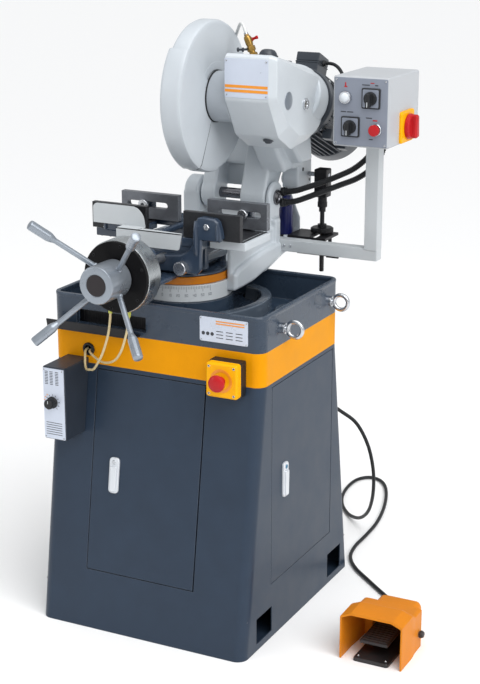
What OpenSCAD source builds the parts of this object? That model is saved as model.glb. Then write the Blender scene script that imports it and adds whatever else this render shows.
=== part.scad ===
// Pull-down cold saw on a cabinet stand, with an air-clamped vise, a swivelling
// saw head on a turntable, a control box on an arm and a foot switch.
// Frame: origin on the floor under the middle of the cabinet, X to the right,
// Y to the back, Z up. Millimetres.

/* [Cabinet] */
// Width of the cabinet, left to right
cab_w = 586; // [580:1:590]
// Depth of the cabinet at the floor
cab_d = 658; // [650:1:664]
// Depth of the cabinet under the coloured band
cab_top_d = 453; // [448:1:456]
// Height of the tapered cabinet
cab_h = 676; // [674:1:678]
// Thickness of the cabinet sheet
sheet = 3; // [2:0.5:4]

/* [Tray] */
// Height of the coloured band
band_h = 85; // [84:0.5:86]
// Height of the cast tray above the band
tray_h = 87; // [86:0.5:87]
// Thickness of the tray walls
tray_wall = 9; // [7:0.5:10]

/* [Turntable] */
// Radius of the graduated ring
ring_r = 118; // [116:0.5:118]
// Radius of the king post
post_r = 40; // [36:1:42]

/* [Vise] */
// Height of a jaw plate
jaw_h = 67; // [60:1:68]
// Thickness of a fixed jaw plate
jaw_t = 18; // [14:1:18]
// Diameter of the two guide bars
bar_d = 34; // [28:1:34]
// Diameter of the clamp screw
screw_d = 24; // [20:1:24]
// Outside radius of the air cylinder
barrel_r = 88; // [84:1:90]

/* [Saw head] */
// Radius of the saw blade
blade_r = 175; // [160:1:176]
// Thickness of the saw blade
blade_t = 2.5; // [2:0.1:3]
// Radius of the moving guard
guard_r = 196; // [194:1:197]
// Diameter of the head's pivot shaft
pivot_d = 28; // [24:1:30]
// Radius of the motor body
motor_r = 95; // [88:1:96]

/* [Controls] */
// Width of the control box
box_w = 147; // [140:1:150]
// Height of the control box
box_h = 173; // [168:1:176]
// Depth of the control box
box_d = 200; // [180:1:205]

/* [Hidden] */
$fn = 64;
run = 0.05;            // radial running fit
sx = -20; sy = -30;    // swivel axis, also the blade plane
pv_y = 250; pv_z = 1038; // head pivot
bl_y = 91; bl_z = 1316;  // spindle axis
mo_x = 137; mo_y = 280; mo_z = 1295; mo_a = 23; // motor axis, falls to the rear
band_z = cab_h;
tray_z = cab_h + band_h;
rim_z = tray_z + tray_h;
fy = -cab_top_d / 2;   // front of the band and tray
lean = atan((cab_d - cab_top_d) / 2 / (cab_h - 0.2));
function front_y(z) = -cab_d / 2 + (cab_d - cab_top_d) / 2 * (z - 0.1) / (cab_h - 0.2);
ck_z = 947;            // clamp axis height
fd_x0 = -163; fd_x1 = 141; fd_z0 = 155; fd_z1 = 671; // front door, in its leaning plane
sd_y0 = -171; sd_y1 = 190; sd_z0 = 149; sd_z1 = 664; // side door
cb_x = 300; cb_y = 155; cb_z = 1204; // control box corner
ft_x = 570;            // foot switch centre line
eye_p = [355, 1070];   // feed rod pin on the head
eye_b = [355, 895];    // feed cylinder pin on the turntable
stop_x = 182; stop_q = [365, 1085];

// foot switch cable: out of the cabinet's back, down to the floor, one loose loop, to the switch
cable_pts = [[200, 282, 476], [200, 300, 474], [206, 345, 462], [236, 388, 424], [276, 408, 388], [308, 416, 328],
    [322, 426, 255], [315, 450, 178], [290, 490, 108], [254, 538, 58], [212, 588, 24], [166, 636, 8], [126, 686, 6],
    [98, 740, 6], [80, 800, 6], [72, 866, 6], [78, 920, 6], [104, 950, 6], [142, 942, 6], [178, 898, 6], [212, 820, 6],
    [242, 720, 6], [262, 615, 6], [268, 520, 6], [270, 435, 6], [286, 362, 6], [326, 300, 6], [390, 240, 6],
    [455, 182, 6], [510, 134, 8], [548, 96, 14], [566, 72, 22], [570, 52, 26]];
hose_a_pts = [[-57, -335, 850], [-59, -335, 828], [-66, -335, 790], [-84, -331, 744], [-110, -316, 708], [-130, -303, 688],
    [-150, -290, 681], [-167, -276, 676], [-179, -262, 684], [-187, -248, 703], [-192, -237, 711], [-194, -222, 713]];
hose_b_pts = [[-7, -335, 846], [-9, -335, 826], [-16, -335, 796], [-31, -331, 758], [-56, -317, 728], [-86, -301, 711],
    [-118, -282, 703], [-148, -261, 703], [-170, -246, 707], [-181, -236, 710], [-184, -222, 711]];
conduit_a = [[352, 318, 1204], [352, 314, 1192], [346, 306, 1172], [330, 298, 1148], [300, 291, 1122], [262, 287, 1102],
    [218, 285, 1082], [172, 283, 1064], [138, 282, 1052], [101, 282, 1047]];
conduit_b = [[374, 318, 1204], [374, 312, 1182], [366, 302, 1152], [346, 293, 1124], [312, 287, 1099], [270, 284, 1080],
    [224, 282, 1060], [176, 281, 1039], [140, 280, 1025], [101, 280, 1018]];
lead_pts = [[169, 386, 1375], [184, 386, 1376], [202, 382, 1374], [220, 372, 1366], [238, 354, 1353], [252, 330, 1341],
    [262, 306, 1334], [272, 288, 1334], [281, 280, 1337], [289, 277, 1339]];

// ---------- shared shapes ----------
module rr2(w, d, r) {
    square([w - 2 * r, d], center = true);
    square([w, d - 2 * r], center = true);
    for (i = [-1, 1], j = [-1, 1]) translate([i * (w / 2 - r), j * (d / 2 - r)]) circle(r = r);
}
module taper(w, d0, d1, h, r) {
    hull() for (i = [-1, 1], j = [-1, 1]) {
        translate([i * (w / 2 - r), j * (d0 / 2 - r), 0]) cylinder(r = r, h = 0.1, $fn = 32);
        translate([i * (w / 2 - r), j * (d1 / 2 - r), h - 0.1]) cylinder(r = r, h = 0.1, $fn = 32);
    }
}
module xcyl(r, x0, x1, y, z) translate([x0, y, z]) rotate([0, 90, 0]) cylinder(r = r, h = x1 - x0);
module ycyl(r, y0, y1, x, z) translate([x, y1, z]) rotate([90, 0, 0]) cylinder(r = r, h = y1 - y0);
module zcyl(r, z0, z1, x, y) translate([x, y, z0]) cylinder(r = r, h = z1 - z0);
module blk(x0, x1, y0, y1, z0, z1) translate([x0, y0, z0]) cube([x1 - x0, y1 - y0, z1 - z0]);
module xprof(x0, x1) translate([x0, 0, 0]) rotate([90, 0, 90]) linear_extrude(height = x1 - x0) children();
module front_plane() translate([0, -cab_d / 2, 0.1]) rotate([-lean, 0, 0]) children();
module motor_axis() translate([mo_x, mo_y, mo_z]) rotate([-90 - mo_a, 0, 0]) children();
function unit(v) = v / norm(v);
function tang(p, i) = unit(p[min(i + 1, len(p) - 1)] - p[max(i - 1, 0)]);
function ring_at(p, i, r, n, ref) = let (t = tang(p, i), a = unit(cross(t, ref)), b = cross(t, a))
    [for (k = [0:n - 1]) p[i] + r * (cos(360 * k / n) * a + sin(360 * k / n) * b)];
module sweep(p, r, n = 8, ref = [0.37, -0.21, 0.9]) {
    m = len(p);
    pts = [for (i = [0:m - 1]) each ring_at(p, i, r, n, ref)];
    side = [for (i = [0:m - 2], k = [0:n - 1]) let (a = i * n + k, b = i * n + (k + 1) % n, c = a + n, d = b + n)
        each [[a, c, d], [a, d, b]]];
    polyhedron(points = pts, faces = concat([[for (k = [0:n - 1]) k]], [[for (k = [n - 1:-1:0]) (m - 1) * n + k]], side));
}

// ---------- cabinet, tray and what stands in them ----------
module cabinet() color("#3e4a5a") {
    difference() {
        taper(cab_w, cab_d, cab_top_d, cab_h, 28);
        translate([0, 0, sheet]) taper(cab_w - 2 * sheet, cab_d - 2 * sheet, cab_top_d - 2 * sheet, cab_h, 25);
        front_plane() blk(fd_x0 - 2, fd_x1 + 3.5, -20, 40, fd_z0 - 2, fd_z1 + 2);
        blk(cab_w / 2 - 40, cab_w / 2 + 20, sd_y0 - 2, sd_y1 + 3.5, sd_z0 - 2, sd_z1 + 2);
        for (y = [-254, 180]) blk(-cab_w, cab_w, y, y + 88, 18, 86);
        translate([200, cab_d / 2 - 80, 480]) rotate([-90, 0, 0]) cylinder(r = 11, h = 60);
    }
    // shelf above the fork slots
    blk(-cab_w / 2 + sheet - 1, cab_w / 2 - sheet + 1, -300, 300, 96, 99);
    // hinge lugs and pins of both doors
    front_plane() {
        blk(fd_x1 - 12, fd_x1 + 4, 1.5, 12.5, fd_z0 - 14, fd_z0 - 3);
        blk(fd_x1 - 12, fd_x1 + 4, 1.5, 12.5, fd_z1 + 3, fd_z1 + 9.5);
        translate([fd_x1 - 6, 7.5, fd_z0 - 4]) cylinder(r = 2.5, h = 20);
        translate([fd_x1 - 6, 7.5, fd_z1 - 16]) cylinder(r = 2.5, h = 20);
    }
    blk(cab_w / 2 - 12.5, cab_w / 2 - 1.5, sd_y1 - 12, sd_y1 + 4, sd_z0 - 14, sd_z0 - 3);
    blk(cab_w / 2 - 12.5, cab_w / 2 - 1.5, sd_y1 - 12, sd_y1 + 4, sd_z1 + 3, sd_z1 + 9.5);
    translate([cab_w / 2 - 7.5, sd_y1 - 6, sd_z0 - 4]) cylinder(r = 2.5, h = 20);
    translate([cab_w / 2 - 7.5, sd_y1 - 6, sd_z1 - 16]) cylinder(r = 2.5, h = 20);
}
module band() color("#e69b0a") difference() {
    translate([0, 0, band_z]) linear_extrude(height = band_h) difference() {
        rr2(cab_w + 1, cab_top_d, 28);
        rr2(cab_w - 5, cab_top_d - 6, 25);
    }
    ycyl(13, fy - 10, fy + 20, -189, 712);
}
module tray() color("#3e4a5a") {
    difference() {
        translate([0, 0, tray_z]) linear_extrude(height = tray_h) rr2(cab_w + 1, cab_top_d, 28);
        translate([0, 0, tray_z + 14]) linear_extrude(height = tray_h) rr2(cab_w + 1 - 2 * tray_wall, cab_top_d - 2 * tray_wall, 20);
        blk(-222, -24, fy - 10, fy + tray_wall + 5, tray_z + 14, tray_z + 52);
        zcyl(24, tray_z - 1, tray_z + 20, 210, 120);
        zcyl(104, tray_z - 1, tray_z + 50, sx, sy);
    }
    difference() {
        union() {
            zcyl(ring_r + 4, tray_z + 6, 835.7, sx, sy);
            zcyl(post_r, 835, 879.3, sx, sy);
        }
        zcyl(104, tray_z - 1, 824, sx, sy);
    }
}
module chip_chute() color("#343b46") xprof(-288, -40) polygon([[fy - 34, 764], [fy, 764], [fy, 768], [fy - 30, 768], [fy - 35, 788], [fy - 39, 788]]);
module eyebolt() {
    rotate([0, 90, 0]) cylinder(r = 13, h = 7);
    rotate([0, 90, 0]) cylinder(r = 6, h = 14);
    translate([31, 0, 0]) rotate([90, 0, 0]) rotate_extrude() translate([19, 0]) circle(r = 5.5, $fn = 32);
}
module eyebolts() color("#c9cdd2") for (p = [[-113, 799], [168, 799]], s = [0, 1])
    mirror([s, 0, 0]) translate([(cab_w + 1) / 2, p[0], p[1]]) eyebolt();
module feed_box() color("#343b46") difference() {
    xprof(-254, -190) polygon([[-340, 502], [-340, 690], [fy, 690], [fy, cab_h + 0.6], [front_y(502) - 0.1, 502]]);
    xprof(-251, -193) polygon([[-337, 505], [-337, 687], [fy - 3, 687], [fy - 3, cab_h], [front_y(505) - 3, 505]]);
    ycyl(4 + run, -345, -330, -226, 600);
}
module feed_knob() color("#202225") {
    ycyl(14, -362, -340.4, -226, 600);
    ycyl(4, -340.4, -322, -226, 600);
    blk(-227.5, -224.5, -365, -362, 590, 612);
}
module estop_box() color("#f2c61a") difference() {
    union() {
        xprof(165, 251) polygon([[-254, 655], [-254, 742], [fy, 742], [fy, cab_h + 0.6], [front_y(655) - 0.1, 655]]);
        blk(166.5, 249.5, -275, -254, 656.5, 740.5);
    }
    blk(170, 246, -271, -245, 660, 737);
    ycyl(11 + run, -280, -266, 208, 699);
}
module estop_button() color("#d8232a") {
    ycyl(11, -292, -262, 208, 699);
    translate([208, -292, 699]) rotate([90, 0, 0]) rotate_extrude() polygon([[0, 0], [17, 0], [21, 4], [21, 9], [16, 14], [0, 16]]);
}
module coolant_tank() color("#5a6470") difference() {
    blk(-200, 190, -150, 180, 99, 300);
    blk(-197, 187, -147, 177, 102, 301);
}
module coolant_pump() color("#2e333a") {
    zcyl(50, 306, 430, -90, 40);
    zcyl(32, 130, 306, -90, 40);
    blk(-200, -20, -20, 100, 300, 306);
}

// ---------- vise ----------
module vise_ring() color("#cd7814") zcyl(113, 879.3, 899, sx, sy);
module vise_body() color("#3f4e63") {
    difference() {
        union() {
            zcyl(112, 899, 906, sx, sy);
            blk(sx - 42, sx + 42, -306, -20, 899, 911);
            blk(sx - 62, sx + 62, -306, -284, 892, 1006);
            blk(sx - 75, sx + 75, 30, 55, 899, 1000);
            for (s = [-1, 1]) translate([sx, 0, 0]) mirror([s < 0 ? 1 : 0, 0, 0]) {
                blk(46, 156, 30, 55, 984, 1018);
                blk(128, 156, 30, 55, 1010, 1060);
                blk(33, 46, -85, 55, 985, 1000);
            }
            // gusset under the cylinder mount
            xprof(sx - 6, sx + 6) polygon([[-284, 911], [-230, 911], [-284, 930]]);
        }
        ycyl(screw_d / 2 + 1, -320, -280, sx, ck_z);
        for (s = [-1, 1]) ycyl(bar_d / 2, 20, 60, sx + s * 60, 930);
    }
    // bed plates that carry the bar on both sides of the cut
    for (s = [-1, 1]) translate([sx, 0, 0]) mirror([s < 0 ? 1 : 0, 0, 0]) blk(113, 210, -112, 29.95, 976, 998);
    // studs that hold the fixed jaw plates
    for (s = [-1, 1]) {
        ycyl(6, 5, 32, sx + s * 142, 1039);
        ycyl(13, 3.5, 11.6, sx + s * 142, 1039);
    }
}
module guide_bars() color("#b8bec4") for (s = [-1, 1]) ycyl(bar_d / 2, -172, 55, sx + s * 60, 930);
module fixed_jaw(s) color("#6b7078") difference() {
    translate([sx, 0, 0]) mirror([s < 0 ? 1 : 0, 0, 0]) blk(42, 208, 30 - jaw_t, 29.8, 1002, 1002 + jaw_h);
    translate([sx + s * 132, 0, 1039]) {
        blk(-51, 51, 0, 40, -8, 8);
        for (e = [-51, 51]) ycyl(8, 0, 40, e, 0);
    }
}
module fixed_jaw_left() fixed_jaw(-1);
module fixed_jaw_right() fixed_jaw(1);
module jaw_carriage() color("#3f4e63") difference() {
    union() {
        blk(sx - 78, sx + 78, -155, -87, 913, 984);
        for (s = [-1, 1]) translate([sx, 0, 0]) mirror([s < 0 ? 1 : 0, 0, 0]) {
            blk(48, 78, -112, -87, 984, 1001);
            blk(48, 110, -158, -87, 976, 1001);
            blk(88, 160, -158, -133, 1001, 1060);
        }
    }
    for (s = [-1, 1]) ycyl(bar_d / 2 + run, -180, -80, sx + s * 60, 930);
    ycyl(screw_d / 2 + run, -170, -80, sx, ck_z);
}
module movable_jaws() color("#4c5057") for (s = [-1, 1]) translate([sx, 0, 0]) mirror([s < 0 ? 1 : 0, 0, 0])
    blk(52, 207, -133, -118, 1002, 1002 + jaw_h - 2);
module chip_deflector() color("#d8dde2") {
    blk(-204, -54, -166, -164, 1022, 1072);
    blk(-118, -54, -200, -164, 1022, 1024);
    blk(-60, 64, -200, -180, 1022, 1024);
    blk(-118, 64, -200, -198, 984, 1024);
    blk(sx - 40, sx - 16, -198.5, -195, 911, 1023);
    blk(sx - 40, sx - 16, -198, -170, 911, 914);
}
module clamp_barrel() color("#969fa0") translate([sx, -306, ck_z]) rotate([90, 0, 0]) difference() {
    cylinder(r = barrel_r, h = 56);
    translate([0, 0, 10]) cylinder(r = barrel_r - 8, h = 60);
    translate([0, 0, -1]) cylinder(r = screw_d / 2 + 1, h = 60);
}
module clamp_cover() color("#322d30") difference() {
    ycyl(barrel_r - 2, -369, -362, sx, ck_z);
    ycyl(screw_d / 2 + 1, -380, -350, sx, ck_z);
}
module handwheel() color("#98a2ac") {
    ycyl(45.5, -457, -370, sx, ck_z);
    for (k = [45, 135, 225, 315]) translate([sx, -402, ck_z]) rotate([0, -k, 0]) translate([38, 0, 0]) rotate([0, 0, -34]) {
        rotate([0, 90, 0]) cylinder(r = 6.5, h = 190);
        translate([134, 0, 0]) rotate([0, 90, 0]) cylinder(r = 12, h = 62);
    }
}
module clamp_screw() color("#9aa1a8") ycyl(screw_d / 2, -370, 25, sx, ck_z);
module glands() color("#22262a") {
    translate([-189, fy, 712]) rotate([90, 0, 0]) rotate_extrude() polygon([[10.5, -6], [12.8, -6], [12.8, 0], [16.5, 0], [16.5, 4], [14, 6], [10.5, 6]]);
    zcyl(5, 850, 952 - sqrt(barrel_r * barrel_r - 37 * 37), -57, -335);
    zcyl(5, 846, 952 - sqrt(barrel_r * barrel_r - 13 * 13), -7, -335);
    ycyl(11, -front_y(480) - 8, 282, 200, 480);
}
module hose_a() color("#e8dcb4") sweep(hose_a_pts, 3, 8);
module hose_b() color("#e8dcb4") sweep(hose_b_pts, 3, 8);

// ---------- foot switch ----------
module foot_base() color("#1d1f21") {
    difference() {
        union() {
            blk(ft_x - 46, ft_x + 46, -190, 15.6, 0, 9);
            for (s = [-1, 1]) blk(ft_x + s * 42 - 4, ft_x + s * 42 + 4, -20, 12, 8, 58);
            blk(ft_x - 14, ft_x + 14, 9, 15.6, 8, 40);
        }
        xcyl(4 + run, ft_x - 60, ft_x + 60, -4, 46);
    }
    ycyl(9, 13, 52, ft_x, 26);
}
module hood_shape(w, h, b) polygon([[-w, 0], [-w, h - 0.42 * b], [b - w, h], [w - b, h], [w, h - 0.42 * b], [w, 0]]);
module hood_body(w0, w1, h0, h1, b, y0, y1) hull() {
    translate([ft_x, y0 + 0.1, 0]) rotate([90, 0, 0]) linear_extrude(height = 0.1) hood_shape(w0, h0, b);
    translate([ft_x, y1, 0]) rotate([90, 0, 0]) linear_extrude(height = 0.1) hood_shape(w1, h1, b);
}
module foot_hood() color("#eb9128") difference() {
    union() {
        hood_body(81, 81, 124, 126, 26, -190, -117.9);
        hood_body(81, 79, 126, 111, 26, -118, -40);
        blk(ft_x - 56, ft_x + 56, -44, 19.8, 0, 92);
    }
    translate([0, 0, -1]) hood_body(77, 77, 120.6, 122.6, 24.5, -200, -118);
    translate([0, 0, -1]) hood_body(77, 75, 122.6, 107.6, 24.5, -118.1, -44);
    blk(ft_x - 52, ft_x + 52, -60, 16, -1, 88);
    ycyl(10, 10, 30, ft_x, 26);
    blk(ft_x - 10, ft_x + 10, 10, 30, -1, 26);
}
module foot_pedal() color("#2b2628") {
    xcyl(4, ft_x - 46, ft_x + 46, -4, 46);
    xcyl(9, ft_x - 37, ft_x + 37, -4, 46);
    xprof(ft_x - 37, ft_x + 37) polygon([[-170, 41], [-170, 50], [-6, 52], [-4, 42]]);
}
module foot_cable() color("#1c1c1d") sweep(cable_pts, 5, 8);

// ---------- doors ----------
module front_door() color("#3e4a5a") front_plane() difference() {
    union() {
        blk(fd_x0, fd_x1, 0, 3, fd_z0, fd_z1);
        for (z = [fd_z0 + 60, fd_z1 - 100]) blk(fd_x0 + 24, fd_x1 - 40, 3, 12, z, z + 26);
        translate([fd_x1 - 6, 7.5, fd_z0]) cylinder(r = 5, h = fd_z1 - fd_z0);
    }
    translate([fd_x1 - 6, 7.5, fd_z0 - 1]) cylinder(r = 2.5 + run, h = 40);
    translate([fd_x1 - 6, 7.5, fd_z1 - 39]) cylinder(r = 2.5 + run, h = 40);
    translate([-98, -5, 409]) rotate([-90, 0, 0]) cylinder(r = 6 + run, h = 20);
}
module latch() {
    rotate([-90, 0, 0]) cylinder(r = 6, h = 10.4);
    translate([-13, -7, -44]) cube([26, 6.6, 88]);
    translate([-9, 10.4, -6]) cube([40, 3, 12]);
}
module front_latch() color("#d4d8dc") front_plane() translate([-98, 0, 409]) mirror([1, 0, 0]) latch();
module side_door() color("#626973") difference() {
    union() {
        blk(cab_w / 2 - 3, cab_w / 2, sd_y0, sd_y1, sd_z0, sd_z1);
        for (z = [sd_z0 + 60, sd_z1 - 100]) blk(cab_w / 2 - 12, cab_w / 2 - 3, sd_y0 + 24, sd_y1 - 40, z, z + 26);
        translate([cab_w / 2 - 7.5, sd_y1 - 6, sd_z0]) cylinder(r = 5, h = sd_z1 - sd_z0);
    }
    translate([cab_w / 2 - 7.5, sd_y1 - 6, sd_z0 - 1]) cylinder(r = 2.5 + run, h = 40);
    translate([cab_w / 2 - 7.5, sd_y1 - 6, sd_z1 - 39]) cylinder(r = 2.5 + run, h = 40);
    xcyl(6 + run, cab_w / 2 - 20, cab_w / 2 + 5, -98, 404);
}
module side_latch() color("#d4d8dc") translate([cab_w / 2, -98, 404]) rotate([0, 0, 90]) mirror([1, 0, 0]) latch();

// ---------- turntable and what swings with it ----------
module turntable() color("#d7dce1") {
    difference() {
        union() {
            zcyl(ring_r, 836, 879, sx, sy);
            xprof(sx - 130, sx + 130) polygon([[-30, 854], [180, 854], [292, 880], [292, 905], [200, 890], [95, 879], [-30, 879]]);
            for (s = [-1, 1]) translate([sx, 0, 0]) mirror([s < 0 ? 1 : 0, 0, 0])
                xprof(117, 130) polygon([[-30, 858], [100, 858], [215, 880], [215, 968], [-30, 972]]);
            blk(-156, 117, 212, 292, 880, 986);
            // cheeks of the head pivot
            blk(-156, -108, 208, 292, 900, pv_z);
            blk(88, 101, 208, 292, 900, pv_z);
            xcyl(42, -156, -108, pv_y, pv_z);
            xcyl(42, 88, 101, pv_y, pv_z);
            // gussets that carry the feed cylinder's pin
            xprof(50, 58) polygon([[290, 881], [386, 881], [386, 908], [292, 1028]]);
            xprof(102, 110) polygon([[290, 881], [386, 881], [386, 908], [350, 922], [290, 932]]);
            // back plate behind the feed cylinder
            translate([0, 386, 0]) rotate([90, 0, 0]) linear_extrude(height = 7) polygon([[50, 883], [109, 883], [109, 960], [82, 1024], [62, 1024], [50, 1000]]);
        }
        zcyl(post_r + run, 800, 878.9, sx, sy);
        zcyl(100, 862, 900, sx, sy);
        xcyl(pivot_d / 2, -170, 130, pv_y, pv_z);
        xcyl(6, 40, 120, eye_b[0], eye_b[1]);
    }
}
module pivot_shaft() color("#aab0b6") {
    xcyl(pivot_d / 2, -156, 101, pv_y, pv_z);
    xcyl(20, 101, 106, pv_y, pv_z);
    xcyl(20, -161, -156, pv_y, pv_z);
    xcyl(6, 50, 110, eye_b[0], eye_b[1]);
}
module control_arm() color("#d7dce1") {
    difference() {
        blk(117, 393, 234, 266, 899, 931);
        blk(120, 390, 237, 263, 902, 928);
    }
    difference() {
        blk(357, 393, 232, 268, 931, 1204);
        blk(360, 390, 235, 265, 934, 1201);
    }
}
module control_box() color("#dfe2e4") difference() {
    translate([cb_x, cb_y + box_d, cb_z]) rotate([90, 0, 0]) linear_extrude(height = box_d) translate([box_w / 2, box_h / 2]) rr2(box_w, box_h, 5);
    blk(cb_x + 3, cb_x + box_w - 3, cb_y - 1, cb_y + box_d - 3, cb_z + 3, cb_z + box_h - 3);
    xcyl(6 + run, cb_x + box_w - 10, cb_x + box_w + 5, 273, 1246);
    xcyl(6, cb_x - 5, cb_x + 5, 276, 1340);
}
module control_panel() color("#a0a5af") {
    difference() {
        blk(cb_x + 1, cb_x + box_w - 1, cb_y - 3, cb_y, cb_z + 1, cb_z + box_h - 1);
        for (p = [[401, 1326], [348, 1254]]) ycyl(5 + run, cb_y - 20, cb_y + 20, p[0], p[1]);
        ycyl(11 + run, cb_y - 20, cb_y + 20, 414, 1250);
    }
    // switch plates, button collar, lamp and the main switch's plate
    for (p = [[401, 1326], [348, 1254]]) difference() {
        blk(p[0] - 25, p[0] + 25, cb_y - 7, cb_y - 3, p[1] - 25, p[1] + 25);
        ycyl(5 + run, cb_y - 20, cb_y + 20, p[0], p[1]);
    }
    difference() {
        ycyl(16, cb_y - 8, cb_y - 3, 414, 1250);
        ycyl(11 + run, cb_y - 20, cb_y + 20, 414, 1250);
    }
    ycyl(16, cb_y - 8, cb_y - 3, 333, 1325);
    ycyl(12, cb_y - 17, cb_y - 8, 333, 1325);
    difference() {
        blk(cb_x + box_w, cb_x + box_w + 6, 240, 306, 1206, 1286);
        xcyl(6 + run, cb_x + box_w - 5, cb_x + box_w + 10, 273, 1246);
    }
    // lead gland on the box's left wall
    xcyl(9, cb_x - 8, cb_x, 276, 1340);
}
module selector(p) {
    ycyl(17, cb_y - 16, cb_y - 7.4, p[0], p[1]);
    ycyl(5, cb_y - 7.4, cb_y + 14, p[0], p[1]);
    blk(p[0] - 5.5, p[0] + 5.5, cb_y - 32, cb_y - 16, p[1] - 21, p[1] + 13);
}
module selector_upper() color("#2a2c30") selector([401, 1326]);
module selector_lower() color("#2a2c30") selector([348, 1254]);
module stop_button() color("#d0252a") {
    ycyl(11, cb_y - 13, cb_y + 16, 414, 1250);
    ycyl(14, cb_y - 19, cb_y - 13, 414, 1250);
}
module main_switch() color("#d0252a") {
    xcyl(6, cb_x + box_w - 16, cb_x + box_w + 6.4, 273, 1246);
    xcyl(27, cb_x + box_w + 6.4, cb_x + box_w + 14, 273, 1246);
    blk(cb_x + box_w + 14, cb_x + box_w + 34, 265, 281, 1214, 1278);
}
module conduits() color("#17181a") {
    sweep(conduit_a, 8, 10);
    sweep(conduit_b, 8, 10);
}
module stop_bracket() color("#1f2124") difference() {
    union() {
        blk(110, 220, 300, 388, 921, 928);
        blk(110, 116, 300, 372, 898, 921);
    }
    blk(stop_x - 10, stop_x + 10, 302, 380, 910, 940);
}
module feed_cylinder() color("#1e2f8c") translate([80, 0, 0]) difference() {
    union() {
        xcyl(13, -12, 12, eye_b[0], eye_b[1]);
        zcyl(20, 908, 1010, 0, eye_b[0]);
        zcyl(11, 895, 908, 0, eye_b[0]);
        zcyl(14, 1010, 1024, 0, eye_b[0]);
    }
    xcyl(6 + run, -20, 20, eye_b[0], eye_b[1]);
    zcyl(7 + run, 920, 1030, 0, eye_b[0]);
}
module feed_rod() color("#b8bec4") translate([80, 0, 0]) difference() {
    union() {
        zcyl(7, 924, 1058, 0, eye_p[0]);
        xcyl(16, -8, 8, eye_p[0], eye_p[1]);
    }
    xcyl(10.5, -20, 20, eye_p[0], eye_p[1]);
}

// ---------- saw head ----------
module gear_profile() hull() {
    translate([236, 1288]) circle(r = 92);
    translate([30, 1418]) circle(r = 14, $fn = 32);
    translate([30, 1324]) circle(r = 14, $fn = 32);
    translate([84, 1236]) circle(r = 14, $fn = 32);
    translate([150, 1203]) circle(r = 16, $fn = 32);
}
module head_casting() color("#d7dce1") difference() {
    union() {
        xprof(67, 207) gear_profile();
        xcyl(65, -2, 68, bl_y, bl_z);
        motor_axis() cylinder(r = 70, h = 30);
        // fork to the pivot
        xcyl(42, -104, -62, pv_y, pv_z);
        xcyl(42, 12, 85.6, pv_y, pv_z);
        xprof(-104, -62) polygon([[215, 1060], [285, 1060], [330, 1110], [330, 1190], [272, 1190]]);
        xprof(12, 85.6) polygon([[212, 1056], [288, 1056], [330, 1110], [330, 1230], [272, 1190]]);
        blk(-104, 168, 268, 330, 1112, 1190);
        blk(-64, 14, 288, 330, 1064, 1113);
        xprof(62, 168) polygon([[150, 1210], [240, 1112], [330, 1112], [300, 1240]]);
        blk(92, 140, 300, 388, 1052, 1125);
        xcyl(6, 140, 200, stop_q[0], stop_q[1]);
        xcyl(7, 71, 92, eye_p[0], eye_p[1]);
        zcyl(10, 1385, 1420, 80, 150);
    }
    // gear case
    xprof(80, 194) hull() {
        translate([232, 1290]) circle(r = 76);
        translate([44, 1408]) circle(r = 12, $fn = 32);
        translate([44, 1330]) circle(r = 12, $fn = 32);
        translate([90, 1250]) circle(r = 12, $fn = 32);
        translate([152, 1222]) circle(r = 16, $fn = 32);
    }
    xcyl(pivot_d / 2 + run, -120, 100, pv_y, pv_z);
    xcyl(20 + run, -10, 201, bl_y, bl_z);
    motor_axis() {
        translate([0, 0, -225]) cylinder(r = 18, h = 300);
        translate([0, 0, 30]) cylinder(r = 104, h = 300);
    }
}
// open sector cut out of a drum outside the radius keep, angles from +Y towards +Z
module sector_cut(a0, a1, keep) translate([0, bl_y, bl_z]) xprof(-70, 30) difference() {
    polygon(concat([[0, 0]], [for (i = [0:6]) let (a = a0 + (a1 - a0) * i / 6) [400 * cos(a), 400 * sin(a)]]));
    circle(r = keep);
}
module fixed_guard() color("#dde1e5") difference() {
    xcyl(189, -46, 6, bl_y, bl_z);
    xcyl(185, -43.5, 3.5, bl_y, bl_z);
    xcyl(65, 0, 10, bl_y, bl_z);
    xcyl(24, -50, -40, bl_y, bl_z);
    sector_cut(150, 274, 62);
}
module lower_guard() color("#dde1e5") difference() {
    xcyl(guard_r, -50, 10, bl_y, bl_z);
    xcyl(guard_r - 4, -47.5, 7.5, bl_y, bl_z);
    xcyl(65.3, 0, 20, bl_y, bl_z);
    xcyl(70, -60, -40, bl_y, bl_z);
    sector_cut(273, 498, 86);
}
module blade() color("#8d949b") difference() {
    xcyl(blade_r, sx - blade_t / 2, sx + blade_t / 2, bl_y, bl_z);
    xcyl(16, sx - 5, sx + 5, bl_y, bl_z);
    for (k = [0:90:270]) translate([0, bl_y, bl_z]) rotate([k, 0, 0]) xcyl(5.5, sx - 5, sx + 5, 31.5, 0);
}
module spindle() color("#a4abb2") {
    xcyl(20, sx + 7, 200, bl_y, bl_z);
    xcyl(45, sx + blade_t / 2, sx + 7, bl_y, bl_z);
    xcyl(16, sx - 9, sx + 7, bl_y, bl_z);
    difference() {
        xcyl(45, sx - 9, sx - blade_t / 2, bl_y, bl_z);
        xcyl(16, sx - 20, sx, bl_y, bl_z);
    }
    translate([sx - 22, bl_y, bl_z]) rotate([0, 90, 0]) cylinder(r = 18, h = 13, $fn = 6);
}
module worm_wheel() color("#b08a3c") difference() {
    xcyl(40, 120, 154, bl_y, bl_z);
    xcyl(20, 100, 170, bl_y, bl_z);
}
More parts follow.
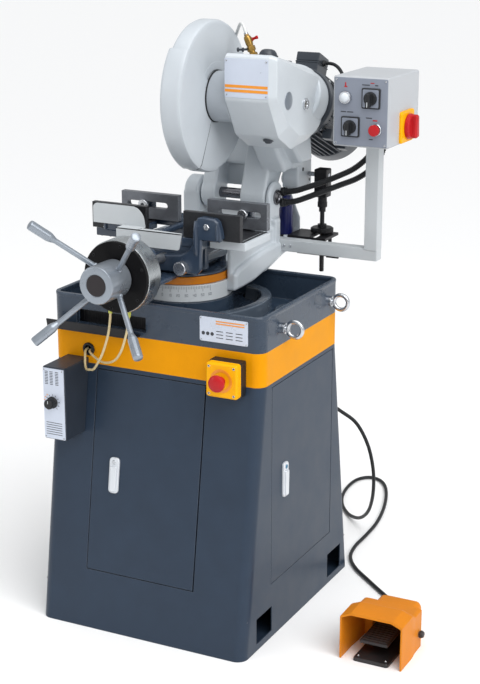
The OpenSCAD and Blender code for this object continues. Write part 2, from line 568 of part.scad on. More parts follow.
module motor() color("#464e58") {
    motor_axis() difference() {
        translate([0, 0, 30]) cylinder(r = motor_r, h = 260);
        translate([0, 0, 48]) cylinder(r = 60, h = 190);
        translate([0, 0, 250]) cylinder(r = 82, h = 34);
        translate([0, 0, 20]) cylinder(r = 10 + run, h = 240);
    }
    // terminal box on top of the frame
    motor_axis() difference() {
        translate([-32, -135, 33]) cube([64, 60, 67]);
        translate([0, 0, 20]) cylinder(r = motor_r - 2, h = 100);
        translate([-29, -132, 36]) cube([58, 34, 61]);
    }
}
module motor_lead() color("#17181a") sweep(lead_pts, 4.5, 8);
module rotor() color("#8c9299") motor_axis() {
    translate([0, 0, -212]) cylinder(r = 10, h = 490);
    translate([0, 0, -208]) cylinder(r = 13.6, h = 52);
    translate([0, 0, 60]) cylinder(r = 55, h = 166);
    translate([0, 0, 256]) cylinder(r = 74, h = 16);
}
module coolant_tap() color("#9a7a35") {
    translate([80, 150, 1420]) rotate([0, -22, 0]) difference() {
        union() {
            cylinder(r = 8, h = 50);
            translate([0, 0, 6]) cylinder(r = 11, h = 12, $fn = 6);
            translate([0, 0, 34]) rotate([-90, 0, 0]) cylinder(r = 5, h = 14);
        }
        translate([0, 0, 34]) rotate([-90, 0, 0]) cylinder(r = 2 + run, h = 20);
    }
    // short hose from the tap over to the guard's rim
    sweep([[61, 150, 1467], [57, 151, 1478], [50, 156, 1488], [38, 166, 1490], [22, 188, 1480], [4, 212, 1462], [-10, 228, 1443]], 4, 8);
}
module tap_lever() color("#c8202a") translate([80, 150, 1420]) rotate([0, -22, 0]) {
    translate([0, 14.4, 34]) rotate([-90, 0, 0]) cylinder(r = 6, h = 4);
    translate([0, 4, 34]) rotate([-90, 0, 0]) cylinder(r = 2, h = 11);
    translate([-4, 15, 34]) cube([30, 3, 8]);
}
module oil_caps() color("#4a5058") {
    translate([140, 112, 1409]) rotate([-9, 0, 0]) { cylinder(r = 24, h = 14); translate([0, 0, 14]) cylinder(r1 = 24, r2 = 12, h = 12); }
    xcyl(22, 207, 209, bl_y, bl_z);
    xcyl(15, 207, 212, 190, 1296);
    zcyl(9, 1206, 1226, 150, 98);
    zcyl(9, 1393, 1402, 165, 178);
}
module stop_rod() color("#1d1f22") difference() {
    union() {
        zcyl(6, 822, 1050, stop_x, stop_q[0]);
        zcyl(13, 996, 1045, stop_x, stop_q[0]);
        blk(stop_x - 18, stop_x + 18, stop_q[0] - 18, stop_q[0] + 18, 1024, 1102);
        zcyl(30, 929, 944, stop_x, stop_q[0]);
    }
    xcyl(6 + run, stop_x - 40, stop_x + 40, stop_q[0], stop_q[1]);
}

cabinet();
band();
tray();
chip_chute();
eyebolts();
feed_box();
estop_box();
coolant_tank();
coolant_pump();
vise_ring();
vise_body();
guide_bars();
chip_deflector();
clamp_barrel();
clamp_cover();
motor_lead();
glands();
hose_a();
hose_b();
foot_base();
foot_hood();
foot_cable();
front_door();
front_latch();
side_door();
side_latch();
estop_button();
feed_knob();
fixed_jaw_left();
fixed_jaw_right();
jaw_carriage();
movable_jaws();
handwheel();
clamp_screw();
foot_pedal();
turntable();
pivot_shaft();
control_arm();
control_box();
control_panel();
selector_upper();
selector_lower();
stop_button();
main_switch();
conduits();
stop_bracket();
feed_cylinder();
feed_rod();
head_casting();
fixed_guard();
lower_guard();
blade();
spindle();
worm_wheel();
motor();
rotor();
coolant_tap();
tap_lever();
oil_caps();
stop_rod();
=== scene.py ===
import math

import bmesh
import bpy
from mathutils import Matrix, Vector


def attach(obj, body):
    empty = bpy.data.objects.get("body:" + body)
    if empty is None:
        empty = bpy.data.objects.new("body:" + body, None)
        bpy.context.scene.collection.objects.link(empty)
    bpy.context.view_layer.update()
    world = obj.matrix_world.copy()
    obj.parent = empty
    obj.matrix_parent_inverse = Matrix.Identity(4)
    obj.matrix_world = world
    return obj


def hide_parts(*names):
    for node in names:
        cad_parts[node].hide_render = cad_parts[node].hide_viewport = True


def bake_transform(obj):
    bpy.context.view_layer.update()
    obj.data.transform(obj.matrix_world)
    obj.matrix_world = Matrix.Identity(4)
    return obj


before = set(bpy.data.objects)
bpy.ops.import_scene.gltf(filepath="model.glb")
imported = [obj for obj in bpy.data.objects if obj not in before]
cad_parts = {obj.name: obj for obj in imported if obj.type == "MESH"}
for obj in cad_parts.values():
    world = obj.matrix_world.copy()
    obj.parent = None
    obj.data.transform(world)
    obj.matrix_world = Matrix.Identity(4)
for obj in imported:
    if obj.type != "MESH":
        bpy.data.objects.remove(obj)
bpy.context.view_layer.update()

# ---------------------------------------------------------------- camera
cam_data = bpy.data.cameras.new("cam")
cam = bpy.data.objects.new("cam", cam_data)
bpy.context.scene.collection.objects.link(cam)
cam_data.sensor_width = 36.0
cam_data.lens = 82.9
cam.location = (1.8434, -3.4243, 1.8522)
aim = Vector((0.11964, 0.0, 0.71077))
cam.rotation_euler = (aim - cam.location).to_track_quat("-Z", "Y").to_euler()
bpy.context.scene.camera = cam

K = 0.001


# ---------------------------------------------------------------- materials
def nodes_of(m):
    m.use_nodes = True
    nt = m.node_tree
    return nt, nt.nodes["Principled BSDF"]


def surface(name, col, rough=0.4, metal=0.0, var=0.07, scale=14.0, grain=0.0, gscale=500.0, edge=1.6, wear=0.0,
            wearcol=(0.5, 0.52, 0.55), rvar=0.12, coat=0.0, stretch=None, dirt=0.0, spec=0.5):
    """Paint, plastic or metal: cloudy tone, roughness patches, fine bump, softened edges and worn corners."""
    m = bpy.data.materials.new(name)
    nt, b = nodes_of(m)
    N, L = nt.nodes, nt.links
    tc = N.new("ShaderNodeTexCoord")
    src = tc.outputs["Object"]
    if stretch:
        mp = N.new("ShaderNodeMapping")
        mp.inputs["Scale"].default_value = stretch
        L.new(src, mp.inputs["Vector"])
        fine_src = mp.outputs["Vector"]
    else:
        fine_src = src
    n1 = N.new("ShaderNodeTexNoise")
    n1.inputs["Scale"].default_value = scale
    n1.inputs["Detail"].default_value = 5.0
    n1.inputs["Roughness"].default_value = 0.6
    L.new(src, n1.inputs["Vector"])
    ramp = N.new("ShaderNodeValToRGB")
    ramp.color_ramp.elements[0].position = 0.3
    ramp.color_ramp.elements[1].position = 0.72
    ramp.color_ramp.elements[0].color = (*[max(0.0, c * (1 - var)) for c in col], 1)
    ramp.color_ramp.elements[1].color = (*[min(1.0, c * (1 + var)) for c in col], 1)
    L.new(n1.outputs["Fac"], ramp.inputs["Fac"])
    colour = ramp.outputs["Color"]
    n2 = N.new("ShaderNodeTexNoise")
    n2.inputs["Scale"].default_value = gscale
    n2.inputs["Detail"].default_value = 3.0
    L.new(fine_src, n2.inputs["Vector"])
    if dirt > 0:
        nd = N.new("ShaderNodeTexNoise")
        nd.inputs["Scale"].default_value = 5.5
        nd.inputs["Detail"].default_value = 8.0
        L.new(src, nd.inputs["Vector"])
        rd = N.new("ShaderNodeMapRange")
        rd.inputs["From Min"].default_value = 0.5
        rd.inputs["From Max"].default_value = 0.85
        rd.inputs["To Max"].default_value = dirt
        L.new(nd.outputs["Fac"], rd.inputs["Value"])
        md = N.new("ShaderNodeMix")
        md.data_type = "RGBA"
        L.new(rd.outputs["Result"], md.inputs["Factor"])
        L.new(colour, md.inputs["A"])
        md.inputs["B"].default_value = (*[c * 0.55 for c in col], 1)
        colour = md.outputs["Result"]
    bev = N.new("ShaderNodeBevel")
    bev.samples = 4
    bev.inputs["Radius"].default_value = edge * K
    if wear > 0:
        geo = N.new("ShaderNodeNewGeometry")
        dot = N.new("ShaderNodeVectorMath")
        dot.operation = "DOT_PRODUCT"
        L.new(bev.outputs["Normal"], dot.inputs[0])
        L.new(geo.outputs["Normal"], dot.inputs[1])
        inv = N.new("ShaderNodeMapRange")
        inv.inputs["From Min"].default_value = 0.97
        inv.inputs["From Max"].default_value = 0.86
        inv.inputs["To Max"].default_value = wear
        L.new(dot.outputs["Value"], inv.inputs["Value"])
        mul = N.new("ShaderNodeMath")
        mul.operation = "MULTIPLY"
        L.new(inv.outputs["Result"], mul.inputs[0])
        L.new(n1.outputs["Fac"], mul.inputs[1])
        mx = N.new("ShaderNodeMix")
        mx.data_type = "RGBA"
        L.new(mul.outputs["Value"], mx.inputs["Factor"])
        L.new(colour, mx.inputs["A"])
        mx.inputs["B"].default_value = (*wearcol, 1)
        colour = mx.outputs["Result"]
    L.new(colour, b.inputs["Base Color"])
    rr = N.new("ShaderNodeMapRange")
    rr.inputs["From Min"].default_value = 0.3
    rr.inputs["From Max"].default_value = 0.7
    rr.inputs["To Min"].default_value = max(0.03, rough - rvar / 2)
    rr.inputs["To Max"].default_value = min(1.0, rough + rvar / 2)
    L.new((n2 if stretch else n1).outputs["Fac"], rr.inputs["Value"])
    L.new(rr.outputs["Result"], b.inputs["Roughness"])
    bp = N.new("ShaderNodeBump")
    bp.inputs["Strength"].default_value = 0.5
    bp.inputs["Distance"].default_value = max(grain, 0.02) * K
    L.new(n2.outputs["Fac"], bp.inputs["Height"])
    L.new(bev.outputs["Normal"], bp.inputs["Normal"])
    L.new(bp.outputs["Normal"], b.inputs["Normal"])
    b.inputs["Metallic"].default_value = metal
    b.inputs["Coat Weight"].default_value = coat
    b.inputs["Specular IOR Level"].default_value = spec
    b.inputs["Coat Roughness"].default_value = 0.15
    return m


blue_grey = surface("blue_grey_paint", (0.0245, 0.0400, 0.0665), 0.36, grain=0.05, gscale=900, var=0.07, coat=0.06, wear=0.25, edge=2.2, dirt=0.15, spec=0.22)
tray_blue = surface("tray_paint", (0.029, 0.046, 0.073), 0.28, grain=0.05, gscale=240, var=0.1, coat=0.2, wear=0.35, edge=3.0, dirt=0.2, spec=0.35)
# lighter than tray_paint: the lighter base colour is a painted highlight for the glossy rim, on top of its real coat
tray_gloss_painted_highlight = surface("tray_gloss_painted_highlight", (0.085, 0.108, 0.14), 0.2, grain=0.06, gscale=160, var=0.1, coat=0.5, edge=2.0, dirt=0.2)
orange = surface("band_orange", (0.76, 0.30, 0.0015), 0.4, grain=0.04, gscale=900, var=0.04, wear=0.1, wearcol=(0.85, 0.5, 0.1), edge=2.0, spec=0.07)
white = surface("white_paint", (0.555, 0.595, 0.63), 0.33, grain=0.05, gscale=700, var=0.025, coat=0.15, wear=0.12, wearcol=(0.4, 0.42, 0.45), edge=1.2, dirt=0.05, spec=0.4)
guard_white = surface("guard_white", (0.49, 0.528, 0.565), 0.35, grain=0.04, gscale=700, var=0.025, coat=0.12, wear=0.1, wearcol=(0.4, 0.42, 0.45), edge=1.0, dirt=0.05, spec=0.4)
white_cast = surface("white_cast", (0.545, 0.59, 0.63), 0.36, grain=0.14, gscale=260, var=0.03, coat=0.15, edge=0.8, dirt=0.06, spec=0.4)
vise_blue = surface("hammered_blue", (0.032, 0.050, 0.082), 0.24, grain=0.14, gscale=230, var=0.15, coat=0.5, edge=2.4, dirt=0.2, spec=0.4)
ring_orange = surface("ring_orange", (0.60, 0.19, 0.006), 0.35, grain=0.05, gscale=400, coat=0.1, var=0.08, spec=0.3)
steel = surface("turned_steel", (0.40, 0.415, 0.44), 0.28, metal=0.95, var=0.14, grain=0.03, gscale=300, scale=30, rvar=0.2)
grey_cast = surface("silver_grey_paint", (0.30, 0.335, 0.38), 0.3, metal=0.6, var=0.07, grain=0.05, gscale=500, coat=0.1)
galv = surface("galvanised", (0.50, 0.53, 0.545), 0.28, metal=1.0, var=0.1, scale=40, grain=0.03, gscale=90, rvar=0.15)
bar_steel = surface("bar_steel", (0.56, 0.58, 0.61), 0.22, metal=0.9, var=0.05, grain=0.01, gscale=300, rvar=0.1)
zinc = surface("zinc_plate", (0.60, 0.62, 0.65), 0.22, metal=0.97, var=0.08, grain=0.02, gscale=300)
chrome_paint = surface("latch_silver", (0.66, 0.69, 0.73), 0.3, metal=0.2, var=0.04, grain=0.02, gscale=800, coat=0.3)
jaw = surface("ground_jaw", (0.018, 0.019, 0.022), 0.34, metal=0.2, var=0.2, scale=40, grain=0.05, gscale=260, rvar=0.2, stretch=(1, 1, 18), wear=0.6, wearcol=(0.25, 0.25, 0.28), spec=0.4)
jaw_light = surface("ground_jaw_light", (0.15, 0.16, 0.18), 0.32, metal=0.5, var=0.14, scale=40, grain=0.05, gscale=240, rvar=0.18, stretch=(14, 1, 1), wear=0.5)
black = surface("black_paint", (0.010, 0.010, 0.012), 0.4, var=0.2, grain=0.06, gscale=400, wear=0.2, wearcol=(0.2, 0.2, 0.2), spec=0.3)
cover_black = surface("cover_black", (0.0055, 0.0052, 0.0058), 0.38, var=0.2, grain=0.05, gscale=500, coat=0.02, wear=0.2, spec=0.1)
insert = surface("hub_insert", (0.022, 0.018, 0.020), 0.5, var=0.15, grain=0.05, gscale=600, spec=0.3)
plastic_black = surface("plastic_black", (0.012, 0.013, 0.015), 0.42, var=0.15, grain=0.04, gscale=900, spec=0.35)
rubber = surface("rubber_black", (0.013, 0.014, 0.016), 0.5, var=0.2, grain=0.05, gscale=700, edge=0.6, spec=0.35)
motor_grey = surface("motor_paint", (0.036, 0.043, 0.054), 0.38, var=0.1, grain=0.12, gscale=280, coat=0.1, wear=0.2, edge=1.0, spec=0.35)
dark_paint = surface("dark_paint", (0.028, 0.036, 0.050), 0.38, var=0.1, grain=0.05, gscale=600, coat=0.05, spec=0.3)
yellow = surface("yellow_plastic", (0.90, 0.42, 0.002), 0.38, var=0.04, grain=0.03, gscale=900, coat=0.02, edge=1.5, spec=0.14)
red = surface("red_plastic", (0.46, 0.010, 0.014), 0.36, var=0.07, grain=0.03, gscale=900, coat=0.08, edge=0.9, spec=0.25)
foot_orange = surface("foot_orange", (0.68, 0.222, 0.012), 0.42, var=0.06, grain=0.12, gscale=330, wear=0.15, wearcol=(0.85, 0.5, 0.2), edge=2.0, dirt=0.1, spec=0.1)
pedal_black = surface("pedal_black", (0.020, 0.017, 0.018), 0.48, var=0.25, grain=0.15, gscale=260, wear=0.4, wearcol=(0.12, 0.11, 0.11))
panel_grey = surface("panel_grey", (0.225, 0.25, 0.305), 0.4, grain=0.04, gscale=800, var=0.03, spec=0.35)
box_white = surface("box_white", (0.455, 0.475, 0.50), 0.36, grain=0.06, gscale=700, var=0.02, coat=0.1, edge=2.0, dirt=0.04, spec=0.4)
sheet_white = surface("sheet_white", (0.50, 0.53, 0.55), 0.36, grain=0.05, gscale=600, var=0.03, coat=0.1, edge=0.8, dirt=0.08, spec=0.4)
neck_grey = surface("neck_grey", (0.36, 0.39, 0.425), 0.34, grain=0.05, gscale=600, var=0.05, coat=0.1, dirt=0.15, spec=0.4)
plate = surface("blank_plate", (0.58, 0.63, 0.73), 0.32, metal=0.2, var=0.03, grain=0.02, gscale=900, edge=0.4)
stripe = surface("orange_stripe", (0.80, 0.28, 0.015), 0.4, var=0.05, grain=0.02, gscale=900, edge=0.3)
feed_blue = surface("feed_blue", (0.008, 0.013, 0.11), 0.33, var=0.12, grain=0.05, gscale=400, coat=0.2, spec=0.35)
brass = surface("brass", (0.38, 0.23, 0.06), 0.3, metal=0.9, var=0.16, scale=60, grain=0.04, gscale=300, rvar=0.2)
hose_cream = surface("hose_cream", (0.62, 0.50, 0.27), 0.38, var=0.08, scale=60, grain=0.02, gscale=500, edge=0.3, coat=0.2)
hose_white = surface("hose_white", (0.66, 0.67, 0.66), 0.4, var=0.05, scale=60, grain=0.02, gscale=500, edge=0.3)
fitting_green = surface("fitting_green", (0.50, 0.52, 0.08), 0.35, var=0.08, grain=0.02, gscale=600)
# dark ink for printed marks; also used as painted shade for holes, slots and socket recesses
print_ink_and_hole_shade = surface("print_ink_and_hole_shade_dark", (0.030, 0.034, 0.042), 0.5, var=0.2, grain=0.01, gscale=900, edge=0.1)
scale_ink = surface("scale_ink", (0.17, 0.19, 0.22), 0.45, var=0.1, grain=0.01, gscale=900, edge=0.1)
scale_white = surface("scale_white", (0.60, 0.635, 0.66), 0.33, var=0.03, grain=0.03, gscale=500, coat=0.1)
lens = surface("lamp_lens", (0.68, 0.72, 0.76), 0.18, var=0.05, grain=0.02, gscale=400, coat=0.6)
glass_dark = surface("sight_glass", (0.06, 0.055, 0.025), 0.12, var=0.3, scale=90, grain=0.02, gscale=300, coat=0.8)
teal = surface("lock_teal", (0.03, 0.17, 0.30), 0.35, var=0.1, grain=0.02, gscale=600, coat=0.3)
blade_mat = surface("blade_steel", (0.38, 0.40, 0.43), 0.3, metal=0.95, var=0.1, scale=20, grain=0.04, gscale=220, stretch=(1, 1, 10), rvar=0.2)
dark_steel = surface("dark_steel", (0.17, 0.17, 0.185), 0.25, metal=0.95, var=0.2, grain=0.03, gscale=260, scale=30, rvar=0.2)
bronze = surface("bronze", (0.38, 0.24, 0.07), 0.36, metal=0.85, var=0.14, scale=50, grain=0.05, gscale=300)


# ---------------------------------------------------------------- mesh helpers (millimetres in, metres out)
def new_obj(name, bm, mat, smooth=30):
    bmesh.ops.recalc_face_normals(bm, faces=bm.faces[:])
    me = bpy.data.meshes.new(name)
    bmesh.ops.scale(bm, vec=(K, K, K), verts=bm.verts[:])
    bm.to_mesh(me)
    bm.free()
    o = bpy.data.objects.new(name, me)
    bpy.context.scene.collection.objects.link(o)
    me.materials.append(mat)
    for p in me.polygons:
        p.use_smooth = True
    ang = math.radians(smooth)
    for e in me.edges:
        e.use_edge_sharp = False
    bm2 = bmesh.new()
    bm2.from_mesh(me)
    for e in bm2.edges:
        if len(e.link_faces) == 2 and e.calc_face_angle(0.0) > ang:
            e.smooth = False
    bm2.to_mesh(me)
    bm2.free()
    w = o.modifiers.new("even_normals", "WEIGHTED_NORMAL")
    w.keep_sharp = True
    return o


def add_box(bm, x0, x1, y0, y1, z0, z1, bev=0.0, seg=2, mat=None):
    r = bmesh.ops.create_cube(bm, size=1.0)
    vs = r["verts"]
    for v in vs:
        v.co = Vector((x0 + (v.co.x + 0.5) * (x1 - x0), y0 + (v.co.y + 0.5) * (y1 - y0), z0 + (v.co.z + 0.5) * (z1 - z0)))
    if bev > 0:
        es = list({e for v in vs for e in v.link_edges})
        r = bmesh.ops.bevel(bm, geom=es, offset=bev, segments=seg, affect="EDGES", profile=0.5)
        vs = list({v for f in r["faces"] for v in f.verts} | {v for v in vs if v.is_valid})
    if mat is not None:
        bmesh.ops.transform(bm, matrix=mat, verts=vs)
    return vs


def frame_of(axis):
    t = Vector(axis).normalized()
    ref = Vector((0, 0, 1)) if abs(t.z) < 0.9 else Vector((1, 0, 0))
    a = ref.cross(t).normalized()
    return a, t.cross(a), t


def add_lathe(bm, prof, origin, axis, seg=48, closed=False, phase=0.0, a0=None, a1=None, frame3=None):
    """Profile points are (radius, distance along the axis). With a0 and a1 it is a capped sector."""
    a, b, t = frame3 or frame_of(axis)
    o = Vector(origin)
    full = a0 is None
    n = seg if full else seg + 1
    rings = []
    for i in range(n):
        ang = (2 * math.pi * i / seg + phase) if full else math.radians(a0 + (a1 - a0) * i / seg)
        d = math.cos(ang) * a + math.sin(ang) * b
        rings.append([None if r < 1e-6 and full else bm.verts.new(o + d * r + t * h) for r, h in prof])
    poles = {j: bm.verts.new(o + t * prof[j][1]) for j in range(len(prof)) if full and prof[j][0] < 1e-6}
    m = len(prof)
    pairs = [(j, j + 1) for j in range(m - 1)] + ([(m - 1, 0)] if closed else [])
    for i in range(seg):
        k = (i + 1) % n if full else i + 1
        for j, l in pairs:
            q = [poles.get(j) or rings[i][j], poles.get(j) or rings[k][j], poles.get(l) or rings[k][l], poles.get(l) or rings[i][l]]
            u = []
            for v in q:
                if v not in u:
                    u.append(v)
            if len(u) > 2:
                bm.faces.new(u)
    if not full and closed:
        bm.faces.new(rings[0])
        bm.faces.new(rings[-1])
    return bm


def add_cyl(bm, p0, p1, r, seg=40, bev=0.6, r2=None):
    p0, p1 = Vector(p0), Vector(p1)
    h = (p1 - p0).length
    r2 = r if r2 is None else r2
    bev = min(bev, r * 0.45, r2 * 0.45, h * 0.45)
    prof = [(0, 0), (r - bev, 0), (r, bev), (r2, h - bev), (r2 - bev, h), (0, h)] if bev > 0 else [(0, 0), (r, 0), (r2, h), (0, h)]
    return add_lathe(bm, prof, p0, p1 - p0, seg)


def add_prism(bm, pts, along, c0, c1, inset=0.0, inset_both=False):
    """Closed polygon extruded along X ('x', points are y,z), Y ('y', points are x,z) or Z ('z', points are x,y)."""
    def at(p, c):
        return Vector((c, p[0], p[1])) if along == "x" else Vector((p[0], c, p[1])) if along == "y" else Vector((p[0], p[1], c))
    def shrink(ps, d):
        cx = sum(p[0] for p in ps) / len(ps)
        cy = sum(p[1] for p in ps) / len(ps)
        out = []
        n = len(ps)
        area = sum(ps[i][0] * ps[(i + 1) % n][1] - ps[(i + 1) % n][0] * ps[i][1] for i in range(n))
        s = 1 if area > 0 else -1
        for i in range(n):
            p, q, r = Vector(ps[i - 1]), Vector(ps[i]), Vector(ps[(i + 1) % n])
            e1, e2 = (q - p).normalized(), (r - q).normalized()
            n1, n2 = Vector((-e1.y, e1.x)) * s, Vector((-e2.y, e2.x)) * s
            k = n1 + n2
            k = k / max(0.3, k.dot(n1)) if k.length > 1e-6 else n1
            out.append((q + k * d)[:])
        return out
    layers = []
    if inset > 0:
        d = inset if c1 > c0 else -inset
        if inset_both:
            layers = [(shrink(pts, inset), c0), (pts, c0 + d), (pts, c1 - d), (shrink(pts, inset), c1)]
        else:
            layers = [(pts, c0), (pts, c1 - d), (shrink(pts, inset), c1)]
    else:
        layers = [(pts, c0), (pts, c1)]
    rows = [[bm.verts.new(at(p, c)) for p in ps] for ps, c in layers]
    n = len(pts)
    bm.faces.new(rows[0])
    bm.faces.new(rows[-1])
    for a, b in zip(rows, rows[1:]):
        for i in range(n):
            bm.faces.new([a[i], a[(i + 1) % n], b[(i + 1) % n], b[i]])
    return bm


def round_poly(pts, rad, seg=5):
    """Rounds each corner of a polygon."""
    out = []
    n = len(pts)
    for i in range(n):
        r = rad[i] if isinstance(rad, (list, tuple)) else rad
        p, q, s = Vector(pts[i - 1]), Vector(pts[i]), Vector(pts[(i + 1) % n])
        if r <= 0:
            out.append(q[:])
            continue
        e1, e2 = (p - q), (s - q)
        d = min(r, e1.length * 0.48, e2.length * 0.48)
        a, b = q + e1.normalized() * d, q + e2.normalized() * d
        for k in range(seg + 1):
            t = k / seg
            out.append(((1 - t) ** 2 * a + 2 * t * (1 - t) * q + t * t * b)[:])
    return out


def hull_pts(circles, seg=40):
    pts = [(y + r * math.cos(2 * math.pi * i / seg), z + r * math.sin(2 * math.pi * i / seg)) for y, z, r in circles for i in range(seg)]
    pts = sorted(set((round(a, 3), round(b, 3)) for a, b in pts))
    def half(ps):
        h = []
        for p in ps:
            while len(h) > 1 and (h[-1][0] - h[-2][0]) * (p[1] - h[-2][1]) - (h[-1][1] - h[-2][1]) * (p[0] - h[-2][0]) <= 0:
                h.pop()
            h.append(p)
        return h[:-1]
    return half(pts) + half(pts[::-1])


def catmull(pts, per=8):
    ps = [Vector(p) for p in pts]
    ps = [2 * ps[0] - ps[1]] + ps + [2 * ps[-1] - ps[-2]]
    out = []
    for i in range(1, len(ps) - 2):
        p0, p1, p2, p3 = ps[i - 1:i + 3]
        for k in range(per):
            t = k / per
            out.append(0.5 * ((2 * p1) + (p2 - p0) * t + (2 * p0 - 5 * p1 + 4 * p2 - p3) * t * t + (3 * p1 - p0 - 3 * p2 + p3) * t ** 3))
    out.append(ps[-2])
    return out


def path_len(ps):
    return sum((b - a).length for a, b in zip(ps, ps[1:]))


def curve_tube(name, pts, r, mat, per=8):
    ps = [p * K for p in catmull(pts, per)]
    cu = bpy.data.curves.new(name, "CURVE")
    cu.dimensions = "3D"
    cu.bevel_depth = r * K
    cu.bevel_resolution = 5
    cu.use_fill_caps = True
    sp = cu.splines.new("POLY")
    sp.points.add(len(ps) - 1)
    for q, p in zip(sp.points, ps):
        q.co = (*p, 1)
    sp.use_smooth = True
    cu.materials.append(mat)
    o = bpy.data.objects.new(name, cu)
    bpy.context.scene.collection.objects.link(o)
    return o, ps


def mesh_tube(name, pts, r, mat, per=8, seg=14, ribs=0.0, pitch=6.0):
    """Swept tube as a mesh; ribs is the depth of a corrugation with that pitch."""
    ps = catmull(pts, per)
    if ribs > 0:
        total = path_len(ps)
        n = max(8, int(total / pitch * 4))
        fine, d, acc, i = [], total / n, 0.0, 0
        cum = [0.0]
        for a, b in zip(ps, ps[1:]):
            cum.append(cum[-1] + (b - a).length)
        for k in range(n + 1):
            s = k * d
            while i < len(cum) - 2 and cum[i + 1] < s:
                i += 1
            f = (s - cum[i]) / max(1e-6, cum[i + 1] - cum[i])
            fine.append(ps[i].lerp(ps[i + 1], min(1.0, f)))
        ps = fine
    bm = bmesh.new()
    rings = []
    up = Vector((0.37, -0.21, 0.9))
    for i, p in enumerate(ps):
        t = (ps[min(i + 1, len(ps) - 1)] - ps[max(i - 1, 0)]).normalized()
        a = (up - t * up.dot(t)).normalized()
        up = a
        b = t.cross(a)
        rr = r if ribs <= 0 else r - (ribs if i % 4 in (2, 3) else 0.0)
        rings.append([bm.verts.new(p + rr * (math.cos(2 * math.pi * k / seg) * a + math.sin(2 * math.pi * k / seg) * b)) for k in range(seg)])
    for u, v in zip(rings, rings[1:]):
        for k in range(seg):
            bm.faces.new([u[k], u[(k + 1) % seg], v[(k + 1) % seg], v[k]])
    bm.faces.new(rings[0][::-1])
    bm.faces.new(rings[-1])
    o = new_obj(name, bm, mat, 50)
    o.modifiers.clear()
    return o, [p * K for p in ps]


def cast(o, voxel=2.6, smooth=5):
    """Fuses overlapping shells into one casting with soft fillets."""
    o.modifiers.clear()
    r = o.modifiers.new("fuse", "REMESH")
    r.mode = "VOXEL"
    r.voxel_size = voxel * K
    r.use_smooth_shade = True
    s = o.modifiers.new("soften", "SMOOTH")
    s.factor = 0.5
    s.iterations = smooth
    return o


def put(o, body, *nodes):
    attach(o, body)
    if nodes:
        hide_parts(*nodes)
    return o


def screws(name, pts, axis, r, h, mat, body, hexed=False):
    """Cap screws with a driver recess."""
    bm = bmesh.new()
    for p in pts:
        add_lathe(bm, [(0, h - 0.45 * r), (0.45 * r, h - 0.45 * r), (0.5 * r, h), (r * 0.85, h), (r, h - 0.2 * r), (r, 0), (0, 0)], p, axis, 6 if hexed else 20)
    return put(new_obj(name, bm, mat), body)


# ---------------------------------------------------------------- cords
cable_pts = [(200, 282, 478), (201, 300, 477), (208, 342, 464), (236, 388, 424), (276, 408, 388), (308, 416, 328), (322, 426, 255), (315, 450, 178),
             (290, 490, 108), (254, 538, 58), (212, 588, 24), (166, 636, 8), (126, 686, 6), (98, 740, 6), (80, 800, 6), (72, 866, 6), (78, 920, 6),
             (104, 950, 6), (142, 942, 6), (178, 898, 6), (212, 820, 6), (242, 720, 6), (262, 615, 6), (268, 520, 6), (270, 435, 6), (286, 362, 6),
             (326, 300, 6), (390, 240, 6), (455, 182, 6), (510, 134, 8), (548, 96, 14), (566, 72, 22), (570, 52, 26)]
cable, ps = curve_tube("foot_switch_cable", cable_pts, 5, rubber)
put(cable, "base", "foot_cable")

hose_a_pts = [(-57, -335, 850), (-59, -335, 828), (-66, -335, 790), (-84, -331, 744), (-110, -316, 708), (-130, -303, 688), (-150, -290, 681),
              (-167, -276, 676), (-179, -262, 684), (-187, -248, 703), (-192, -237, 711), (-194, -222, 713)]
hose_b_pts = [(-7, -335, 846), (-9, -335, 826), (-16, -335, 796), (-31, -331, 758), (-56, -317, 728), (-86, -301, 711), (-118, -282, 703),
              (-148, -261, 703), (-170, -246, 707), (-181, -236, 710), (-184, -222, 711)]
for nm, node, pts in (("air_hose_a", "hose_a", hose_a_pts), ("air_hose_b", "hose_b", hose_b_pts)):
    h, ps = curve_tube(nm, pts, 3, hose_cream)
    put(h, "base", node)

cond_a = [(352, 318, 1204), (352, 314, 1192), (346, 306, 1172), (330, 298, 1148), (300, 291, 1122), (262, 287, 1102), (218, 285, 1082),
          (172, 283, 1064), (138, 282, 1052), (101, 282, 1047)]
cond_b = [(374, 318, 1204), (374, 312, 1182), (366, 302, 1152), (346, 293, 1124), (312, 287, 1099), (270, 284, 1080), (224, 282, 1060),
          (176, 281, 1039), (140, 280, 1025), (101, 280, 1018)]
for nm, pts in (("conduit_a", cond_a), ("conduit_b", cond_b)):
    c, ps = mesh_tube(nm, pts, 8, rubber, ribs=1.3, pitch=5.0)
    put(c, "turntable", "conduits")

lead_pts = [(169, 386, 1375), (184, 386, 1376), (202, 382, 1374), (220, 372, 1366), (238, 354, 1353), (252, 330, 1341), (262, 306, 1334),
            (272, 288, 1334), (281, 280, 1337), (290, 277, 1339.5)]
lead, ps = mesh_tube("motor_cable", lead_pts, 4.5, rubber)
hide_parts("motor_lead")
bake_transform(lead)

cool_pts = [(61, 150, 1467), (57, 151, 1478), (50, 156, 1488), (38, 166, 1490), (22, 188, 1480), (4, 212, 1462), (-10, 228, 1443)]
cool, ps = curve_tube("coolant_hose", cool_pts, 4, hose_white)
put(cool, "head", "coolant_tap")

# ---------------------------------------------------------------- blade guard
ax3 = (Vector((0, 1, 0)), Vector((0, 0, 1)), Vector((1, 0, 0)))
BL = (0, 91, 1316)


